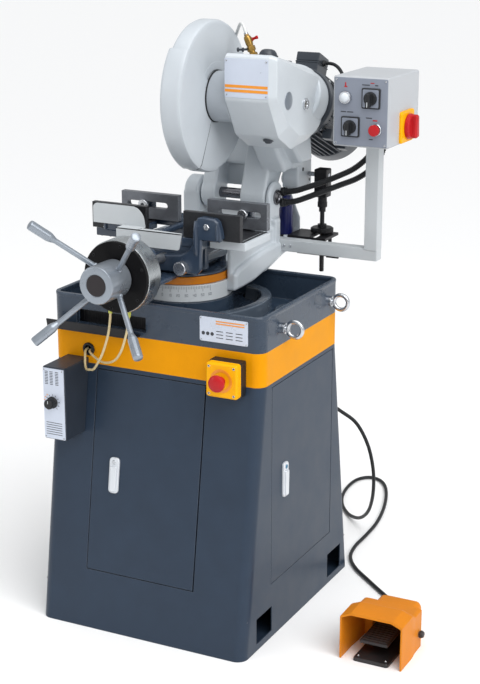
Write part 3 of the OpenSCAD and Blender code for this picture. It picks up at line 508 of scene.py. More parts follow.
def drum(name, ro, x0, x1, t, cham, h0, h1, a0, a1, mat, body, node, seg=110):
    bm = bmesh.new()
    out = [(h0, x0), (ro - cham * 1.3, x0), (ro - cham * 0.35, x0 + cham * 0.35), (ro, x0 + cham * 1.1), (ro, x1 - cham * 1.1),
           (ro - cham * 0.35, x1 - cham * 0.35), (ro - cham * 1.3, x1), (h1, x1)]
    ri, y0, y1 = ro - t, x0 + t, x1 - t
    inn = [(h1, y1), (ri - cham * 1.2, y1), (ri - cham * 0.3, y1 - cham * 0.3), (ri, y1 - cham), (ri, y0 + cham), (ri - cham * 0.3, y0 + cham * 0.3),
           (ri - cham * 1.2, y0), (h0, y0)]
    add_lathe(bm, out + inn, BL, (1, 0, 0), seg, closed=True, a0=a0, a1=a1, frame3=ax3)
    return put(new_obj(name, bm, mat, 28), body, node)


drum("upper_guard", 189, -46, 6, 2.2, 10, 24, 65, -86, 150, guard_white, "head", "fixed_guard")
drum("swing_guard", 196, -50, 10, 2.2, 11, 70, 66, 138, 242, guard_white, "lower_guard", "lower_guard")
drum("swing_leaf", 192, -47.6, 7.6, 2.2, 10, 70, 66, 239, 273.6, guard_white, "lower_guard", "lower_guard")
bm = bmesh.new()
add_lathe(bm, [(66, 5.4), (85, 5.4), (86, 5.8), (86, 6.2), (85, 6.6), (66, 6.6)], BL, (1, 0, 0), 72, closed=True)
put(new_obj("guard_ring", bm, guard_white), "lower_guard")
# thin dark strip along the seam of the guard leaves: painted shadow line of the step between them
bm = bmesh.new()
add_lathe(bm, [(66, 7.0), (182, 7.0), (190, 4.0), (192, 0), (196.1, 0), (196.1, -2), (192.4, 5.8), (182, 10.1), (66, 10.1)], BL, (1, 0, 0), 2, closed=True, a0=241.7, a1=242.5, frame3=ax3)
put(new_obj("guard_seam_shadow_strip", bm, rubber), "lower_guard")
bm = bmesh.new()
add_lathe(bm, [(0, -49.4), (26, -49.4), (30, -47), (30, -45), (0, -45)], BL, (1, 0, 0), 48)
put(new_obj("guard_hub_cap", bm, guard_white), "head")
screws("guard_screws", [(-46, 91 + 48 * math.cos(a), 1316 + 48 * math.sin(a)) for a in (0.6, 2.2, 3.8, 5.4)], (-1, 0, 0), 5, 3.2, zinc, "head", True)

# blade with teeth
bm = bmesh.new()
teeth = 90
prof = []
for i in range(teeth):
    a = 2 * math.pi * i / teeth
    s = 2 * math.pi / teeth
    for da, r in ((0.0, 174.6), (0.06, 169.2), (0.35, 168.4), (0.75, 172.2)):
        prof.append((91 + r * math.cos(a + da * s), 1316 + r * math.sin(a + da * s)))
add_prism(bm, prof, "x", -21.2, -18.8)
put(new_obj("saw_disc", bm, blade_mat), "blade", "blade")

# ---------------------------------------------------------------- gear case, neck and fork
gear = hull_pts([(236, 1288, 92), (30, 1418, 14), (30, 1324, 14), (84, 1236, 14), (150, 1203, 16)], 48)


def offset_hull(d):
    return hull_pts([(236, 1288, 92 - d), (30 + d * 0.35, 1418 - d * 0.35, max(2, 14 - d * 0.6)), (30 + d * 0.35, 1324, max(2, 14 - d * 0.6)),
                     (84, 1236 + d * 0.35, max(2, 14 - d * 0.6)), (150, 1203 + d * 0.4, max(2, 16 - d * 0.6))], 48)


def loft_x(bm, layers, n=96):
    """Lofts convex outlines in the YZ plane, sampled by angle from a common middle."""
    cy, cz = 150, 1312
    rows = []
    for pts, x in layers:
        row = []
        m = len(pts)
        for k in range(n):
            a = 2 * math.pi * k / n
            dy, dz = math.cos(a), math.sin(a)
            best = 0
            for i in range(m):
                (y0, z0), (y1, z1) = pts[i], pts[(i + 1) % m]
                ey, ez = y1 - y0, z1 - z0
                den = dy * ez - dz * ey
                if abs(den) < 1e-9:
                    continue
                t = ((y0 - cy) * ez - (z0 - cz) * ey) / den
                u = ((y0 - cy) * dz - (z0 - cz) * dy) / den
                if t > 0 and -1e-6 <= u <= 1 + 1e-6:
                    best = max(best, t)
            row.append(bm.verts.new((x, cy + best * dy, cz + best * dz)))
        rows.append(row)
    bm.faces.new(rows[0])
    bm.faces.new(rows[-1])
    for p, q in zip(rows, rows[1:]):
        for k in range(n):
            bm.faces.new([p[k], p[(k + 1) % n], q[(k + 1) % n], q[k]])


bm = bmesh.new()
right = hull_pts([(236, 1288, 75), (33, 1416, 9), (34, 1332, 9), (98, 1262, 9), (160, 1226, 10)], 48)
right2 = hull_pts([(236, 1288, 72.5), (35, 1414, 8), (36, 1333, 8), (99, 1264, 8), (161, 1229, 9)], 48)
loft_x(bm, [(offset_hull(5), 67), (gear, 71), (gear, 188), (right, 205), (right2, 207)], 220)
put(new_obj("gear_case", bm, white, 18), "head", "head_casting")
bm = bmesh.new()
add_lathe(bm, [(0, -2), (62, -2), (63.5, 0), (63.5, 60), (65, 64), (65, 70), (0, 70)], (0, 91, 1316), (1, 0, 0), 96)
put(new_obj("neck", bm, neck_grey, 25), "head")
# dark bead on the neck beside the guard: painted shade for the shadowed junction of neck and guard
bm = bmesh.new()
add_lathe(bm, [(63.4, 8.4), (65.2, 8.6), (65.4, 10.6), (65.2, 12.6), (63.4, 12.8)], (0, 91, 1316), (1, 0, 0), 72, closed=True)
put(new_obj("neck_junction_shade_ring", bm, rubber), "head")
bm = bmesh.new()
ca, sa = math.cos(math.radians(23)), math.sin(math.radians(23))


def mo(u, v, s):
    """Motor frame: u right, v up out of the frame, s back along the shaft."""
    return Vector((137 + u, 280 + ca * s + sa * v, 1295 - sa * s + ca * v))


add_cyl(bm, mo(0, 0, -30), mo(0, 0, 29), 84, 64, bev=3)
for x0, x1 in ((-104, -62), (12, 85.6)):
    add_cyl(bm, (x0, 250, 1038), (x1, 250, 1038), 41.5, 56, bev=4)
add_prism(bm, [(214, 1056), (286, 1056), (331, 1112), (331, 1190), (272, 1190)], "x", -104, -62, inset=5, inset_both=True)
add_prism(bm, [(211, 1052), (289, 1052), (331, 1112), (331, 1235), (262, 1195)], "x", 12, 85.6, inset=5, inset_both=True)
add_box(bm, -104, 142, 268, 330, 1112, 1190, bev=7, seg=2)
add_box(bm, -66, 16, 288, 330, 1053, 1116, bev=3, seg=2)
add_prism(bm, [(140, 1222), (236, 1108), (330, 1112), (302, 1245)], "x", 62, 134, inset=7, inset_both=True)
add_prism(bm, [(170, 1215), (262, 1130), (330, 1130), (310, 1250)], "x", 120, 168, inset=6, inset_both=True)
add_box(bm, 92, 140, 300, 388, 1052, 1125, bev=5)
head = cast(new_obj("head_body", bm, white_cast), 2.3, 3)
put(head, "head", "head_casting")
bm = bmesh.new()
add_cyl(bm, (140, 365, 1085), (201, 365, 1085), 6, 28)
add_cyl(bm, (71, 355, 1070), (92, 355, 1070), 7, 28)
put(new_obj("head_pins", bm, steel), "head")
# flat dark discs on the lugs: painted shade standing in for the holes
bm = bmesh.new()
add_cyl(bm, (139.6, 330, 1102), (140.8, 330, 1102), 5, 24, bev=0.3)
add_cyl(bm, (139.6, 372, 1068), (140.8, 372, 1068), 4, 24, bev=0.3)
put(new_obj("lug_hole_shade_discs", bm, print_ink_and_hole_shade), "head")
bm = bmesh.new()
add_lathe(bm, [(0, -6), (12, -6), (12, 1), (10, 2.5), (0, 2.5)], (80, 150, 1418), (-0.37, 0, 0.93), 6)
put(new_obj("tap_seat", bm, brass), "head")

# front plate, bare, with two stripes and its screws
front_y = 16.0
bm = bmesh.new()
add_prism(bm, round_poly([(70, 1327), (188, 1327), (188, 1422), (70, 1422)], 4), "y", 14.6, 16.2)
put(new_obj("blank_name_plate", bm, plate), "head")
bm = bmesh.new()
for z in (1340, 1351):
    add_box(bm, 71, 187, 14.2, 15.4, z, z + 7)
put(new_obj("plate_stripes", bm, stripe), "head")
screws("plate_screws", [(x, 14.6, z) for x in (75, 183) for z in (1333, 1416)], (0, -1, 0), 2.6, 1.6, zinc, "head")

# caps and plugs
bm = bmesh.new()
up9 = (0, 0.14, 0.99)
add_lathe(bm, [(0, 27), (9, 26.5), (16, 24), (21, 18), (23.5, 11), (24, 3), (24, 0), (0, 0)], (140, 112, 1410), up9, 48)
for k in range(18):
    a = 2 * math.pi * k / 18
    add_box(bm, -1.3, 1.3, 23.4, 25.2, 1, 12, bev=0.5, mat=Matrix.Translation((140, 112, 1410)) @ Matrix.Rotation(-math.radians(8), 4, "X") @ Matrix.Rotation(a, 4, "Z"))
filler = new_obj("filler_cap", bm, motor_grey)
put(filler, "head", "oil_caps")
bm = bmesh.new()
add_lathe(bm, [(0, 1.6), (20, 1.6), (22, 0.6), (22, -2), (0, -2)], (207.4, 91, 1316), (1, 0, 0), 48)
put(new_obj("spindle_cap", bm, grey_cast), "head")
bm = bmesh.new()
add_lathe(bm, [(8.5, 1.2), (9.5, 4.2), (13, 5), (15, 3.6), (15, -2), (8.5, -2)], (207.4, 190, 1296), (1, 0, 0), 40, closed=True)
put(new_obj("sight_ring", bm, zinc), "head")
bm = bmesh.new()
add_lathe(bm, [(0, 2.6), (5, 2.3), (8.6, 1.2), (8.6, -2), (0, -2)], (207.4, 190, 1296), (1, 0, 0), 32)
put(new_obj("sight_lens", bm, glass_dark), "head")
bm = bmesh.new()
add_lathe(bm, [(0, 0), (8, 0), (9, 2), (9, 18), (0, 18)], (150, 98, 1206), (0, 0, 1), 6)
add_lathe(bm, [(0, 0), (13, 0), (14, 1), (14, 10), (0, 10)], (150, 98, 1211), (0, 0, 1), 32)
add_lathe(bm, [(0, 10), (7, 10), (9, 8), (9, 0), (0, 0)], (165, 178, 1393), (0, 0.14, 0.99), 6)
put(new_obj("oil_plugs", bm, motor_grey), "head")

# coolant tap
tap = Matrix.Translation((80, 150, 1420)) @ Matrix.Rotation(math.radians(-22), 4, "Y")
td = tap.to_3x3() @ Vector((0, 0, 1))
to = Vector((80, 150, 1420))
bm = bmesh.new()
add_lathe(bm, [(0, 0), (8, 0), (8, 6), (7, 6)], to, td, 32)
add_lathe(bm, [(7, 6), (10.5, 6), (11, 7), (11, 17), (10.5, 18), (7, 18)], to, td, 6)
add_lathe(bm, [(7, 18), (8.5, 20), (9.5, 26), (9.5, 40), (8, 44), (5.5, 46), (6.5, 48), (5, 50), (4.6, 50), (0, 50)], to, td, 32)
add_cyl(bm, to + td * 34, to + td * 34 + Vector((0, 14, 0)), 5.2, 24)
put(new_obj("tap_body", bm, brass), "head", "coolant_tap")
bm = bmesh.new()
add_lathe(bm, [(4.2, 44), (5.4, 44), (5.6, 46), (5.2, 53), (4.2, 54)], to, td, 24, closed=True)
put(new_obj("hose_clip", bm, zinc), "head")
bm = bmesh.new()
c = to + td * 34
add_cyl(bm, c + Vector((0, 14.4, 0)), c + Vector((0, 18.6, 0)), 6.2, 24)
add_box(bm, -4, 19, 15, 18, -3.4, 3.4, bev=1.2, mat=Matrix.Translation(c) @ Matrix.Rotation(math.radians(-22), 4, "Y"))
add_box(bm, 14, 20, 13.5, 19, -4.4, 4.4, bev=1.6, mat=Matrix.Translation(c) @ Matrix.Rotation(math.radians(-22), 4, "Y"))
put(new_obj("tap_handle", bm, red), "tap_lever", "tap_lever")
bm = bmesh.new()
add_cyl(bm, (78, 148, 1430), (44, 138, 1428), 2.8, 18)
for x in (42, 54):
    add_lathe(bm, [(0, 0), (4.4, 0), (5.6, 1.2), (5.6, 4), (4.4, 5), (0, 5)], (x, 137.6 + (x - 42) * 0.3, 1428), (1, 0.3, 0.06), 20)
put(new_obj("tap_grub_screw", bm, motor_grey), "head")

# ---------------------------------------------------------------- motor
bm = bmesh.new()
mt = mo(0, 0, 1) - mo(0, 0, 0)
mf = (Vector((1, 0, 0)), mo(0, 1, 0) - mo(0, 0, 0), mt)
mO = mo(0, 0, 0)
add_lathe(bm, [(0, 31), (88, 31), (92, 34), (92, 50), (84, 56), (82, 58), (82, 226), (88, 230), (94, 232), (95, 236), (95, 280), (90, 289), (84, 290), (0, 290)], mO, mt, 72, frame3=mf)
for k in range(44):
    a = 2 * math.pi * k / 44
    if 62 < math.degrees(a) < 118:
        continue
    R = Matrix((mf[0].to_4d(), mf[1].to_4d(), mf[2].to_4d(), (0, 0, 0, 1))).transposed()
    for i in range(3):
        R[i][3] = mO[i]
    for i in range(3):
        R[3][i] = 0.0
    R[3][3] = 1.0
    add_box(bm, 80, 94.4, -1.5, 1.5, 54, 230, bev=0.8, seg=1, mat=R @ Matrix.Rotation(a, 4, "Z"))
put(new_obj("motor_frame", bm, motor_grey), "head", "motor")


def mo_box(bm, u0, u1, v0, v1, s0, s1, bev=1.5):
    R = Matrix(((1, 0, 0, 137), (0, sa, ca, 280), (0, ca, -sa, 1295), (0, 0, 0, 1)))
    return add_box(bm, u0, u1, v0, v1, s0, s1, bev=bev, mat=R)


bm = bmesh.new()
mo_box(bm, -32, 32, 78, 108, 34, 99, 2)
mo_box(bm, -33, 33, 107, 111, 32.5, 100.5, 1.4)
mo_box(bm, -32.5, 32.5, 111.4, 135, 33, 100, 3)
put(new_obj("terminal_cover", bm, motor_grey), "head")
bm = bmesh.new()
g = mo(32, 100, 64)
add_lathe(bm, [(0, 0), (9, 0), (9, 5), (7.5, 6), (7.5, 9), (5.2, 10), (0, 10)], (168, 386, 1375), (1, 0, 0), 6)
put(new_obj("motor_gland", bm, plastic_black), "head")
bm = bmesh.new()
mo_box(bm, -92, -70, -40, -16, 40, 220, 2)
mo_box(bm, 62, 88, -82, -56, 70, 96, 2)
mo_box(bm, 62, 88, -82, -56, 176, 202, 2)
put(new_obj("motor_pads", bm, motor_grey), "head")
screws("motor_bolts", [mo(88 * math.cos(a), 88 * math.sin(a), 50) for a in (0.78, 2.36, 3.93, 5.5)], tuple(mt), 6, 6, zinc, "head", True)
# thin dark marks on the motor end: painted shade standing in for the cowl's vent slots
bm = bmesh.new()
for r in (18, 30, 42, 54, 66, 78):
    for k in range(int(r * 0.7)):
        a = 2 * math.pi * k / int(r * 0.7)
        if (k % 6) == 5:
            continue
        add_box(bm, -1.8, 1.8, -3.2, 3.2, 289.6, 290.9, mat=Matrix(((1, 0, 0, 137), (0, sa, ca, 280), (0, ca, -sa, 1295), (0, 0, 0, 1))) @ Matrix.Rotation(a, 4, "Z") @ Matrix.Translation((r, 0, 0)))
put(new_obj("cowl_slot_shade", bm, print_ink_and_hole_shade), "head")

# ---------------------------------------------------------------- turntable yoke
bm = bmesh.new()
add_lathe(bm, [(0, 836.2), (116.5, 836.2), (118, 838), (118, 877), (116.5, 878.8), (101, 878.8), (101, 862), (0, 862)], (-20, -30, 0), (0, 0, 1), 120)
put(new_obj("scale_ring", bm, scale_white), "turntable")
bm = bmesh.new()
add_prism(bm, [(-28, 855), (180, 855), (290, 880), (290, 905), (200, 889), (95, 878), (-28, 878)], "x", -148, 108, inset=3, inset_both=True)
low = [(-29, 850), (20, 850), (80, 853), (140, 863), (200, 878), (240, 882), (240, 924), (150, 922), (60, 914), (-10, 904), (-29, 892)]
top = [(-29, 860), (240, 882), (240, 966), (130, 968), (0, 972), (-18, 972), (-29, 962)]
for s in (-1, 1):
    for poly, w, ins in ((low, 144, 7), (top, 129, 3)):
        add_prism(bm, round_poly(poly, [6] * len(poly), 3), "x", -20 + s * 117.6, -20 + s * w, inset=ins)
add_prism(bm, [(-156, 214), (117, 214), (117, 240), (90, 291), (-156, 291)], "z", 880, 986, inset=4, inset_both=True)
for x0, x1 in ((-156, -108), (88, 101)):
    if x0 > 0:
        add_prism(bm, [(88, 209), (101, 209), (101, 264), (91, 288), (88, 288)], "z", 900, 1040)
    else:
        add_box(bm, x0, x1, 209, 291.5, 900, 1042, bev=4)
    add_cyl(bm, (x0, 250, 1038), (x1, 250, 1038), 41.6, 64, bev=4 if x0 > 0 else 8)
add_prism(bm, [(288, 881), (385.6, 881), (385.6, 908), (290, 1027)], "x", 50, 58, inset=1.5, inset_both=True)
add_prism(bm, [(288, 881), (385.6, 881), (385.6, 906), (350, 920), (288, 930)], "x", 102, 110, inset=1.5, inset_both=True)
add_prism(bm, [(51, 883), (109, 883), (109, 960), (82, 1024), (62, 1024), (51, 1000)], "y", 379, 386, inset=1.5, inset_both=True)
yoke = cast(new_obj("yoke", bm, white_cast), 2.3, 3)
put(yoke, "turntable", "turntable")
bm = bmesh.new()
for d in range(-60, 61, 1):
    if d % 2:
        continue
    a = math.radians(d - 90)
    h = 14 if d % 10 == 0 else 10 if d % 5 == 0 else 7
    R = Matrix.Translation((-20, -30, 0)) @ Matrix.Rotation(a, 4, "Z")
    add_box(bm, 117.6, 118.4, -0.45, 0.45, 877 - h, 877, mat=R)
put(new_obj("scale_marks", bm, scale_ink), "turntable")

bm = bmesh.new()
add_box(bm, 112, 216, 356, 372, 866, 884, bev=2)
for x in (122, 206):
    add_cyl(bm, (x, 364, 880), (x, 364, 924), 5, 20)
add_box(bm, 196, 232, 361, 366, 862, 866, bev=1)
put(new_obj("stop_rail", bm, black), "turntable")

# small figures beside the main marks, as plain strokes
SEG = {"0": "abcdef", "1": "bc", "2": "abged", "3": "abgcd", "4": "fgbc", "5": "afgcd", "6": "afgedc"}
BAR = {"a": (0, 1, 1, 0.16), "b": (0.92, 0.5, 0.16, 0.5), "c": (0.92, 0, 0.16, 0.5), "d": (0, 0, 1, 0.16), "e": (0, 0, 0.16, 0.5), "f": (0, 0.5, 0.16, 0.5), "g": (0, 0.5, 1, 0.16)}
bm = bmesh.new()
for d in range(-60, 61, 10):
    t = str(abs(d))
    for i, ch in enumerate(t):
        for sgm in SEG[ch]:
            u, v, w, h = BAR[sgm]
            u0 = (i - len(t) / 2) * 5 + u * 3.2
            R = Matrix.Translation((-20, -30, 0)) @ Matrix.Rotation(math.radians(d - 90), 4, "Z")
            add_box(bm, 117.6, 118.35, u0, u0 + max(0.6, w * 3.2 if w == 1 else 0.6), 851 + v * 6, 851 + v * 6 + (0.8 if h < 0.3 else 3.4), mat=R)
put(new_obj("scale_figures", bm, scale_ink), "turntable")

# pivot shaft
bm = bmesh.new()
add_cyl(bm, (-156, 250, 1038), (101, 250, 1038), 14, 40)
add_lathe(bm, [(0, 0), (11, 0), (13, 3.5), (19, 3.5), (20, 2.5), (20, -4), (0, -4)], (102.4, 250, 1038), (1, 0, 0), 40)
add_lathe(bm, [(0, 0), (11, 0), (13, 3.5), (19, 3.5), (20, 2.5), (20, -4), (0, -4)], (-157.4, 250, 1038), (-1, 0, 0), 40)
add_cyl(bm, (48, 355, 895), (112, 355, 895), 6, 28)
put(new_obj("shafts", bm, dark_steel), "turntable", "pivot_shaft")

# ---------------------------------------------------------------- depth stop and feed cylinder
bm = bmesh.new()
add_box(bm, 164, 200, 347, 383, 1026, 1102, bev=3.5)
add_box(bm, 170, 194, 345.6, 348, 1034, 1066, bev=1.5)
add_box(bm, 199, 201.4, 353, 377, 1034, 1066, bev=1.5)
add_lathe(bm, [(0, 986), (9, 986), (9, 998), (11.5, 998), (13, 1000), (13, 1012), (12, 1013), (12, 1028), (0, 1028)], (182, 365, 0), (0, 0, 1), 32)
add_cyl(bm, (182, 365, 822), (182, 365, 1004), 6, 24)
for z in range(826, 926, 3):
    add_lathe(bm, [(5.6, z), (6.5, z + 0.8), (6.5, z + 1.4), (5.6, z + 2.2)], (182, 365, 0), (0, 0, 1), 24)
add_lathe(bm, [(6, 929.4), (27, 929.4), (30, 931.5), (30, 941.5), (27, 944), (12, 944), (12, 952), (6, 952)], (182, 365, 0), (0, 0, 1), 48)
for k in range(40):
    add_box(bm, 29.4, 30.6, -0.9, 0.9, 931.5, 941.5, mat=Matrix.Translation((182, 365, 0)) @ Matrix.Rotation(2 * math.pi * k / 40, 4, "Z"))
put(new_obj("depth_stop", bm, black), "stop_rod", "stop_rod")
bm = bmesh.new()
P = (80, 355, 0)
add_cyl(bm, (68, 355, 895), (92, 355, 895), 13, 36, bev=1.5)
add_lathe(bm, [(0, 900), (11, 902), (13, 908), (19, 908), (20, 909), (20, 918), (18.6, 919.5), (18.6, 996), (20, 998), (20, 1009), (19, 1010), (14, 1010), (14, 1022), (12, 1024), (7.2, 1024), (7.2, 1010)], P, (0, 0, 1), 40)
for k in range(4):
    a = math.pi / 4 + k * math.pi / 2
    add_cyl(bm, (80 + 17 * math.cos(a), 355 + 17 * math.sin(a), 909), (80 + 17 * math.cos(a), 355 + 17 * math.sin(a), 1009), 2.6, 14)
put(new_obj("air_cylinder", bm, feed_blue), "feed_cylinder", "feed_cylinder")
bm = bmesh.new()
add_cyl(bm, (80, 355, 924), (80, 355, 1060), 7, 32)
add_lathe(bm, [(8, -8), (15, -8), (16, -7), (16, 7), (15, 8), (8, 8)], (80, 355, 1070), (1, 0, 0), 40, closed=True)
add_lathe(bm, [(7, 1032), (11, 1032), (11, 1040), (7, 1040)], P, (0, 0, 1), 6)
put(new_obj("air_rod", bm, steel), "feed_rod", "feed_rod")
bm = bmesh.new()
add_lathe(bm, [(0, 0), (5.5, 0), (5.5, 10), (4, 11), (4, 16), (0, 16)], (80, 336, 1003), (0, -1, 0.1), 24)
add_lathe(bm, [(0, 0), (5.5, 0), (5.5, 10), (4, 11), (4, 16), (0, 16)], (80, 336, 914), (0, -1, 0.1), 24)
put(new_obj("air_fittings", bm, plastic_black), "feed_cylinder")

# ---------------------------------------------------------------- control arm, box and panel
bm = bmesh.new()
add_box(bm, 96, 393, 234, 266, 899, 931, bev=3)
add_box(bm, 357, 393, 232, 268, 926, 1204, bev=3)
add_box(bm, 345, 405, 222, 278, 1200, 1204, bev=1)
put(new_obj("arm", bm, sheet_white), "turntable", "control_arm")
screws("arm_bolts", [(x, 234, 915) for x in (132, 150)], (0, -1, 0), 4, 2.5, zinc, "turntable", True)

bm = bmesh.new()
outer = round_poly([(300, 1204), (447, 1204), (447, 1377), (300, 1377)], 6, 4)
inner = round_poly([(304, 1208), (443, 1208), (443, 1373), (304, 1373)], 4, 4)
rows = []
for ps2, y in ((outer, 355), (outer, 156), (inner, 153.4), (inner, 168)):
    rows.append([bm.verts.new((x, y, z)) for x, z in ps2])
n = len(outer)
bm.faces.new(rows[0])
bm.faces.new(rows[-1])
for a_, b_ in zip(rows, rows[1:]):
    for i in range(n):
        bm.faces.new([a_[i], a_[(i + 1) % n], b_[(i + 1) % n], b_[i]])
put(new_obj("box_shell", bm, box_white), "turntable", "control_box")
bm = bmesh.new()
add_prism(bm, round_poly([(303.5, 1207.5), (443.5, 1207.5), (443.5, 1373.5), (303.5, 1373.5)], 3), "y", 155.5, 152.2, inset=0.6)
put(new_obj("panel", bm, panel_grey), "turntable", "control_panel")
screws("panel_screws", [(x, 152.2, z) for x in (308.5, 438.5) for z in (1212.5, 1368.5)], (0, -1, 0), 2.6, 1.8, zinc, "turntable")


def selector(cx, cz, body, node, tilt):
    bm = bmesh.new()
    add_prism(bm, round_poly([(cx - 24, cz - 25), (cx + 24, cz - 25), (cx + 24, cz + 25), (cx - 24, cz + 25)], 4), "y", 152.2, 146.5, inset=1.6)
    put(new_obj(node + "_plate", bm, plastic_black), "turntable")
    bm = bmesh.new()
    add_prism(bm, round_poly([(cx - 21, cz - 22), (cx + 21, cz - 22), (cx + 21, cz + 22), (cx - 21, cz + 22)], 3), "y", 146.8, 146.0, inset=0.3)
    put(new_obj(node + "_face", bm, panel_grey), "turntable")
    bm = bmesh.new()
    R = Matrix.Translation((cx, 0, cz)) @ Matrix.Rotation(tilt, 4, "Y")
    add_lathe(bm, [(0, 0), (17, 0), (17, 5), (15.5, 8.5), (0, 8.5)], (cx, 147.4, cz), (0, -1, 0), 40)
    add_box(bm, -5.6, 5.6, 123.5, 142, -20, 14, bev=3, seg=3, mat=R)
    put(new_obj(node + "_grip", bm, plastic_black), body, node)
    bm = bmesh.new()
    add_box(bm, -1.0, 1.0, 123.0, 124.5, -18, -6, bev=0.3, mat=R)
    put(new_obj(node + "_mark", bm, scale_white), body)


selector(401, 1326, "selector_upper", "selector_upper", 0.0)
selector(348, 1254, "selector_lower", "selector_lower", 0.0)
bm = bmesh.new()
add_lathe(bm, [(11.5, 0), (16, 0), (16, 3), (14.5, 5), (11.5, 5)], (414, 152, 1250), (0, -1, 0), 40, closed=True)
add_lathe(bm, [(12.2, 0), (16.5, 0), (16.5, 4), (14.8, 7), (12.2, 7)], (333, 152, 1325), (0, -1, 0), 40, closed=True)
put(new_obj("collars", bm, zinc), "turntable")
bm = bmesh.new()
add_lathe(bm, [(0, 3), (11.5, 3), (13.6, 2), (14, 0.6), (14, -3), (11, -3), (11, -20), (0, -20)], (414, 139, 1250), (0, -1, 0), 40)
put(new_obj("stop_cap", bm, red), "stop_button", "stop_button")
bm = bmesh.new()
add_lathe(bm, [(0, 13.5), (5, 13), (9.5, 11), (12, 7), (12, 0), (0, 0)], (333, 151, 1325), (0, -1, 0), 40)
put(new_obj("lamp_cap", bm, lens), "turntable")
bm = bmesh.new()
for x, z, w in ((386, 1358, 20), (414, 1358, 8), (328, 1290, 14), (346, 1290, 16), (396, 1278, 16), (402, 1226, 10)):
    add_box(bm, x - w / 2, x + w / 2, 151.9, 152.6, z - 1.2, z + 1.2)
put(new_obj("panel_marks", bm, print_ink_and_hole_shade), "turntable")
bm = bmesh.new()
add_box(bm, 329, 337, 151.9, 152.6, 1350, 1353, mat=None)
add_box(bm, 331, 334, 151.9, 152.6, 1353, 1362)
add_box(bm, 406, 418, 151.9, 152.6, 1271, 1274)
add_box(bm, 398, 408, 151.9, 152.6, 1362, 1364)
put(new_obj("panel_marks_red", bm, red), "turntable")

bm = bmesh.new()
add_prism(bm, round_poly([(226, 1207), (312, 1207), (312, 1286), (226, 1286)], 7), "x", 446, 454, inset=2.2)
put(new_obj("main_switch_plate", bm, yellow), "turntable")
bm = bmesh.new()
add_lathe(bm, [(0, 0), (31, 0), (32, 2), (31.5, 9), (28, 12), (0, 12)], (454.2, 273, 1246), (1, 0, 0), 56)
add_prism(bm, round_poly([(261, 1217), (285, 1217), (281, 1276), (265, 1276)], [9, 9, 6, 6], 5), "x", 464, 480, inset=4)
put(new_obj("main_switch_handle", bm, red), "main_switch", "main_switch")
bm = bmesh.new()
add_lathe(bm, [(0, 0), (9, 0), (9, 5), (7.4, 6), (7.4, 8), (5, 8.6), (0, 8.6)], (300.5, 276, 1340), (-1, 0, 0), 6)
for p in cond_a[:1] + cond_b[:1]:
    add_lathe(bm, [(8.2, 0), (12, 0), (12, 7), (10.5, 9), (10.5, 14), (8.2, 14)], (p[0], p[1], 1204), (0, 0, -1), 24, closed=True)
for p in cond_a[-1:] + cond_b[-1:]:
    add_lathe(bm, [(8.2, 0), (11.5, 0), (11.5, 8), (10, 10), (10, 15), (8.2, 15)], (101, p[1], p[2]), (1, 0, 0.12), 24, closed=True)
put(new_obj("lead_glands", bm, plastic_black), "turntable")

# ---------------------------------------------------------------- vise
bm = bmesh.new()
add_lathe(bm, [(0, 879.6), (111.5, 879.6), (113, 881), (113, 897.6), (111.5, 899), (0, 899)], (-20, -30, 0), (0, 0, 1), 120)
put(new_obj("orange_ring", bm, ring_orange), "base", "vise_ring")
bm = bmesh.new()
add_lathe(bm, [(0, 899), (111.5, 899), (111.5, 904), (109, 906.5), (0, 906.5)], (-20, -30, 0), (0, 0, 1), 120)
add_prism(bm, [(-306, 899), (-20, 899), (-20, 911), (-306, 911)], "x", -62, 22, inset=2.5, inset_both=True)
add_prism(bm, round_poly([(-82, 1000), (-82, 905), (-66, 892), (26, 892), (42, 905), (42, 1000), (30, 1006), (-70, 1006)], 8, 3), "y", -284, -306)
add_box(bm, -95, 55, 30, 55, 899, 1000, bev=5)
for s in (-1, 1):
    a, b = sorted((-20 + s * 46, -20 + s * 156))
    add_box(bm, a, b, 30.2, 55, 984, 1018, bev=4)
    a, b = sorted((-20 + s * 128, -20 + s * 156))
    add_box(bm, a, b, 30.2, 55, 1000, 1060, bev=4)
    a, b = sorted((-20 + s * 33, -20 + s * 46))
    add_box(bm, a, b, -85, 55, 985, 1000, bev=2)
add_prism(bm, [(-285, 910), (-228, 910), (-285, 932)], "x", -27, -13)
vb = cast(new_obj("vise_casting", bm, vise_blue), 2.2, 4)
put(vb, "base", "vise_body")
bm = bmesh.new()
for s in (-1, 1):
    x = -20 + s * 142
    add_lathe(bm, [(0, 8), (6, 8), (6.4, 8.1), (12, 8.1), (13, 7), (13, 0), (6, 0), (6, -20), (0, -20)], (x, 11.6, 1039), (0, -1, 0), 36)
put(new_obj("jaw_studs", bm, zinc), "base")
# dark hex discs on the stud heads: painted shade standing in for the socket recesses
bm = bmesh.new()
for s in (-1, 1):
    add_lathe(bm, [(0, 4.4), (5, 4.4), (5.6, 8.2), (0, 8.2)], (-20 + s * 142, 11.6, 1039), (0, -1, 0), 6)
put(new_obj("stud_socket_shade", bm, print_ink_and_hole_shade), "base")
bm = bmesh.new()
for s in (-1, 1):
    add_lathe(bm, [(0, 0), (15.5, 0), (17, 1.5), (17, 226), (0, 226)], (-20 + s * 60, -172, 930), (0, 1, 0), 48)
put(new_obj("bars", bm, bar_steel), "base", "guide_bars")


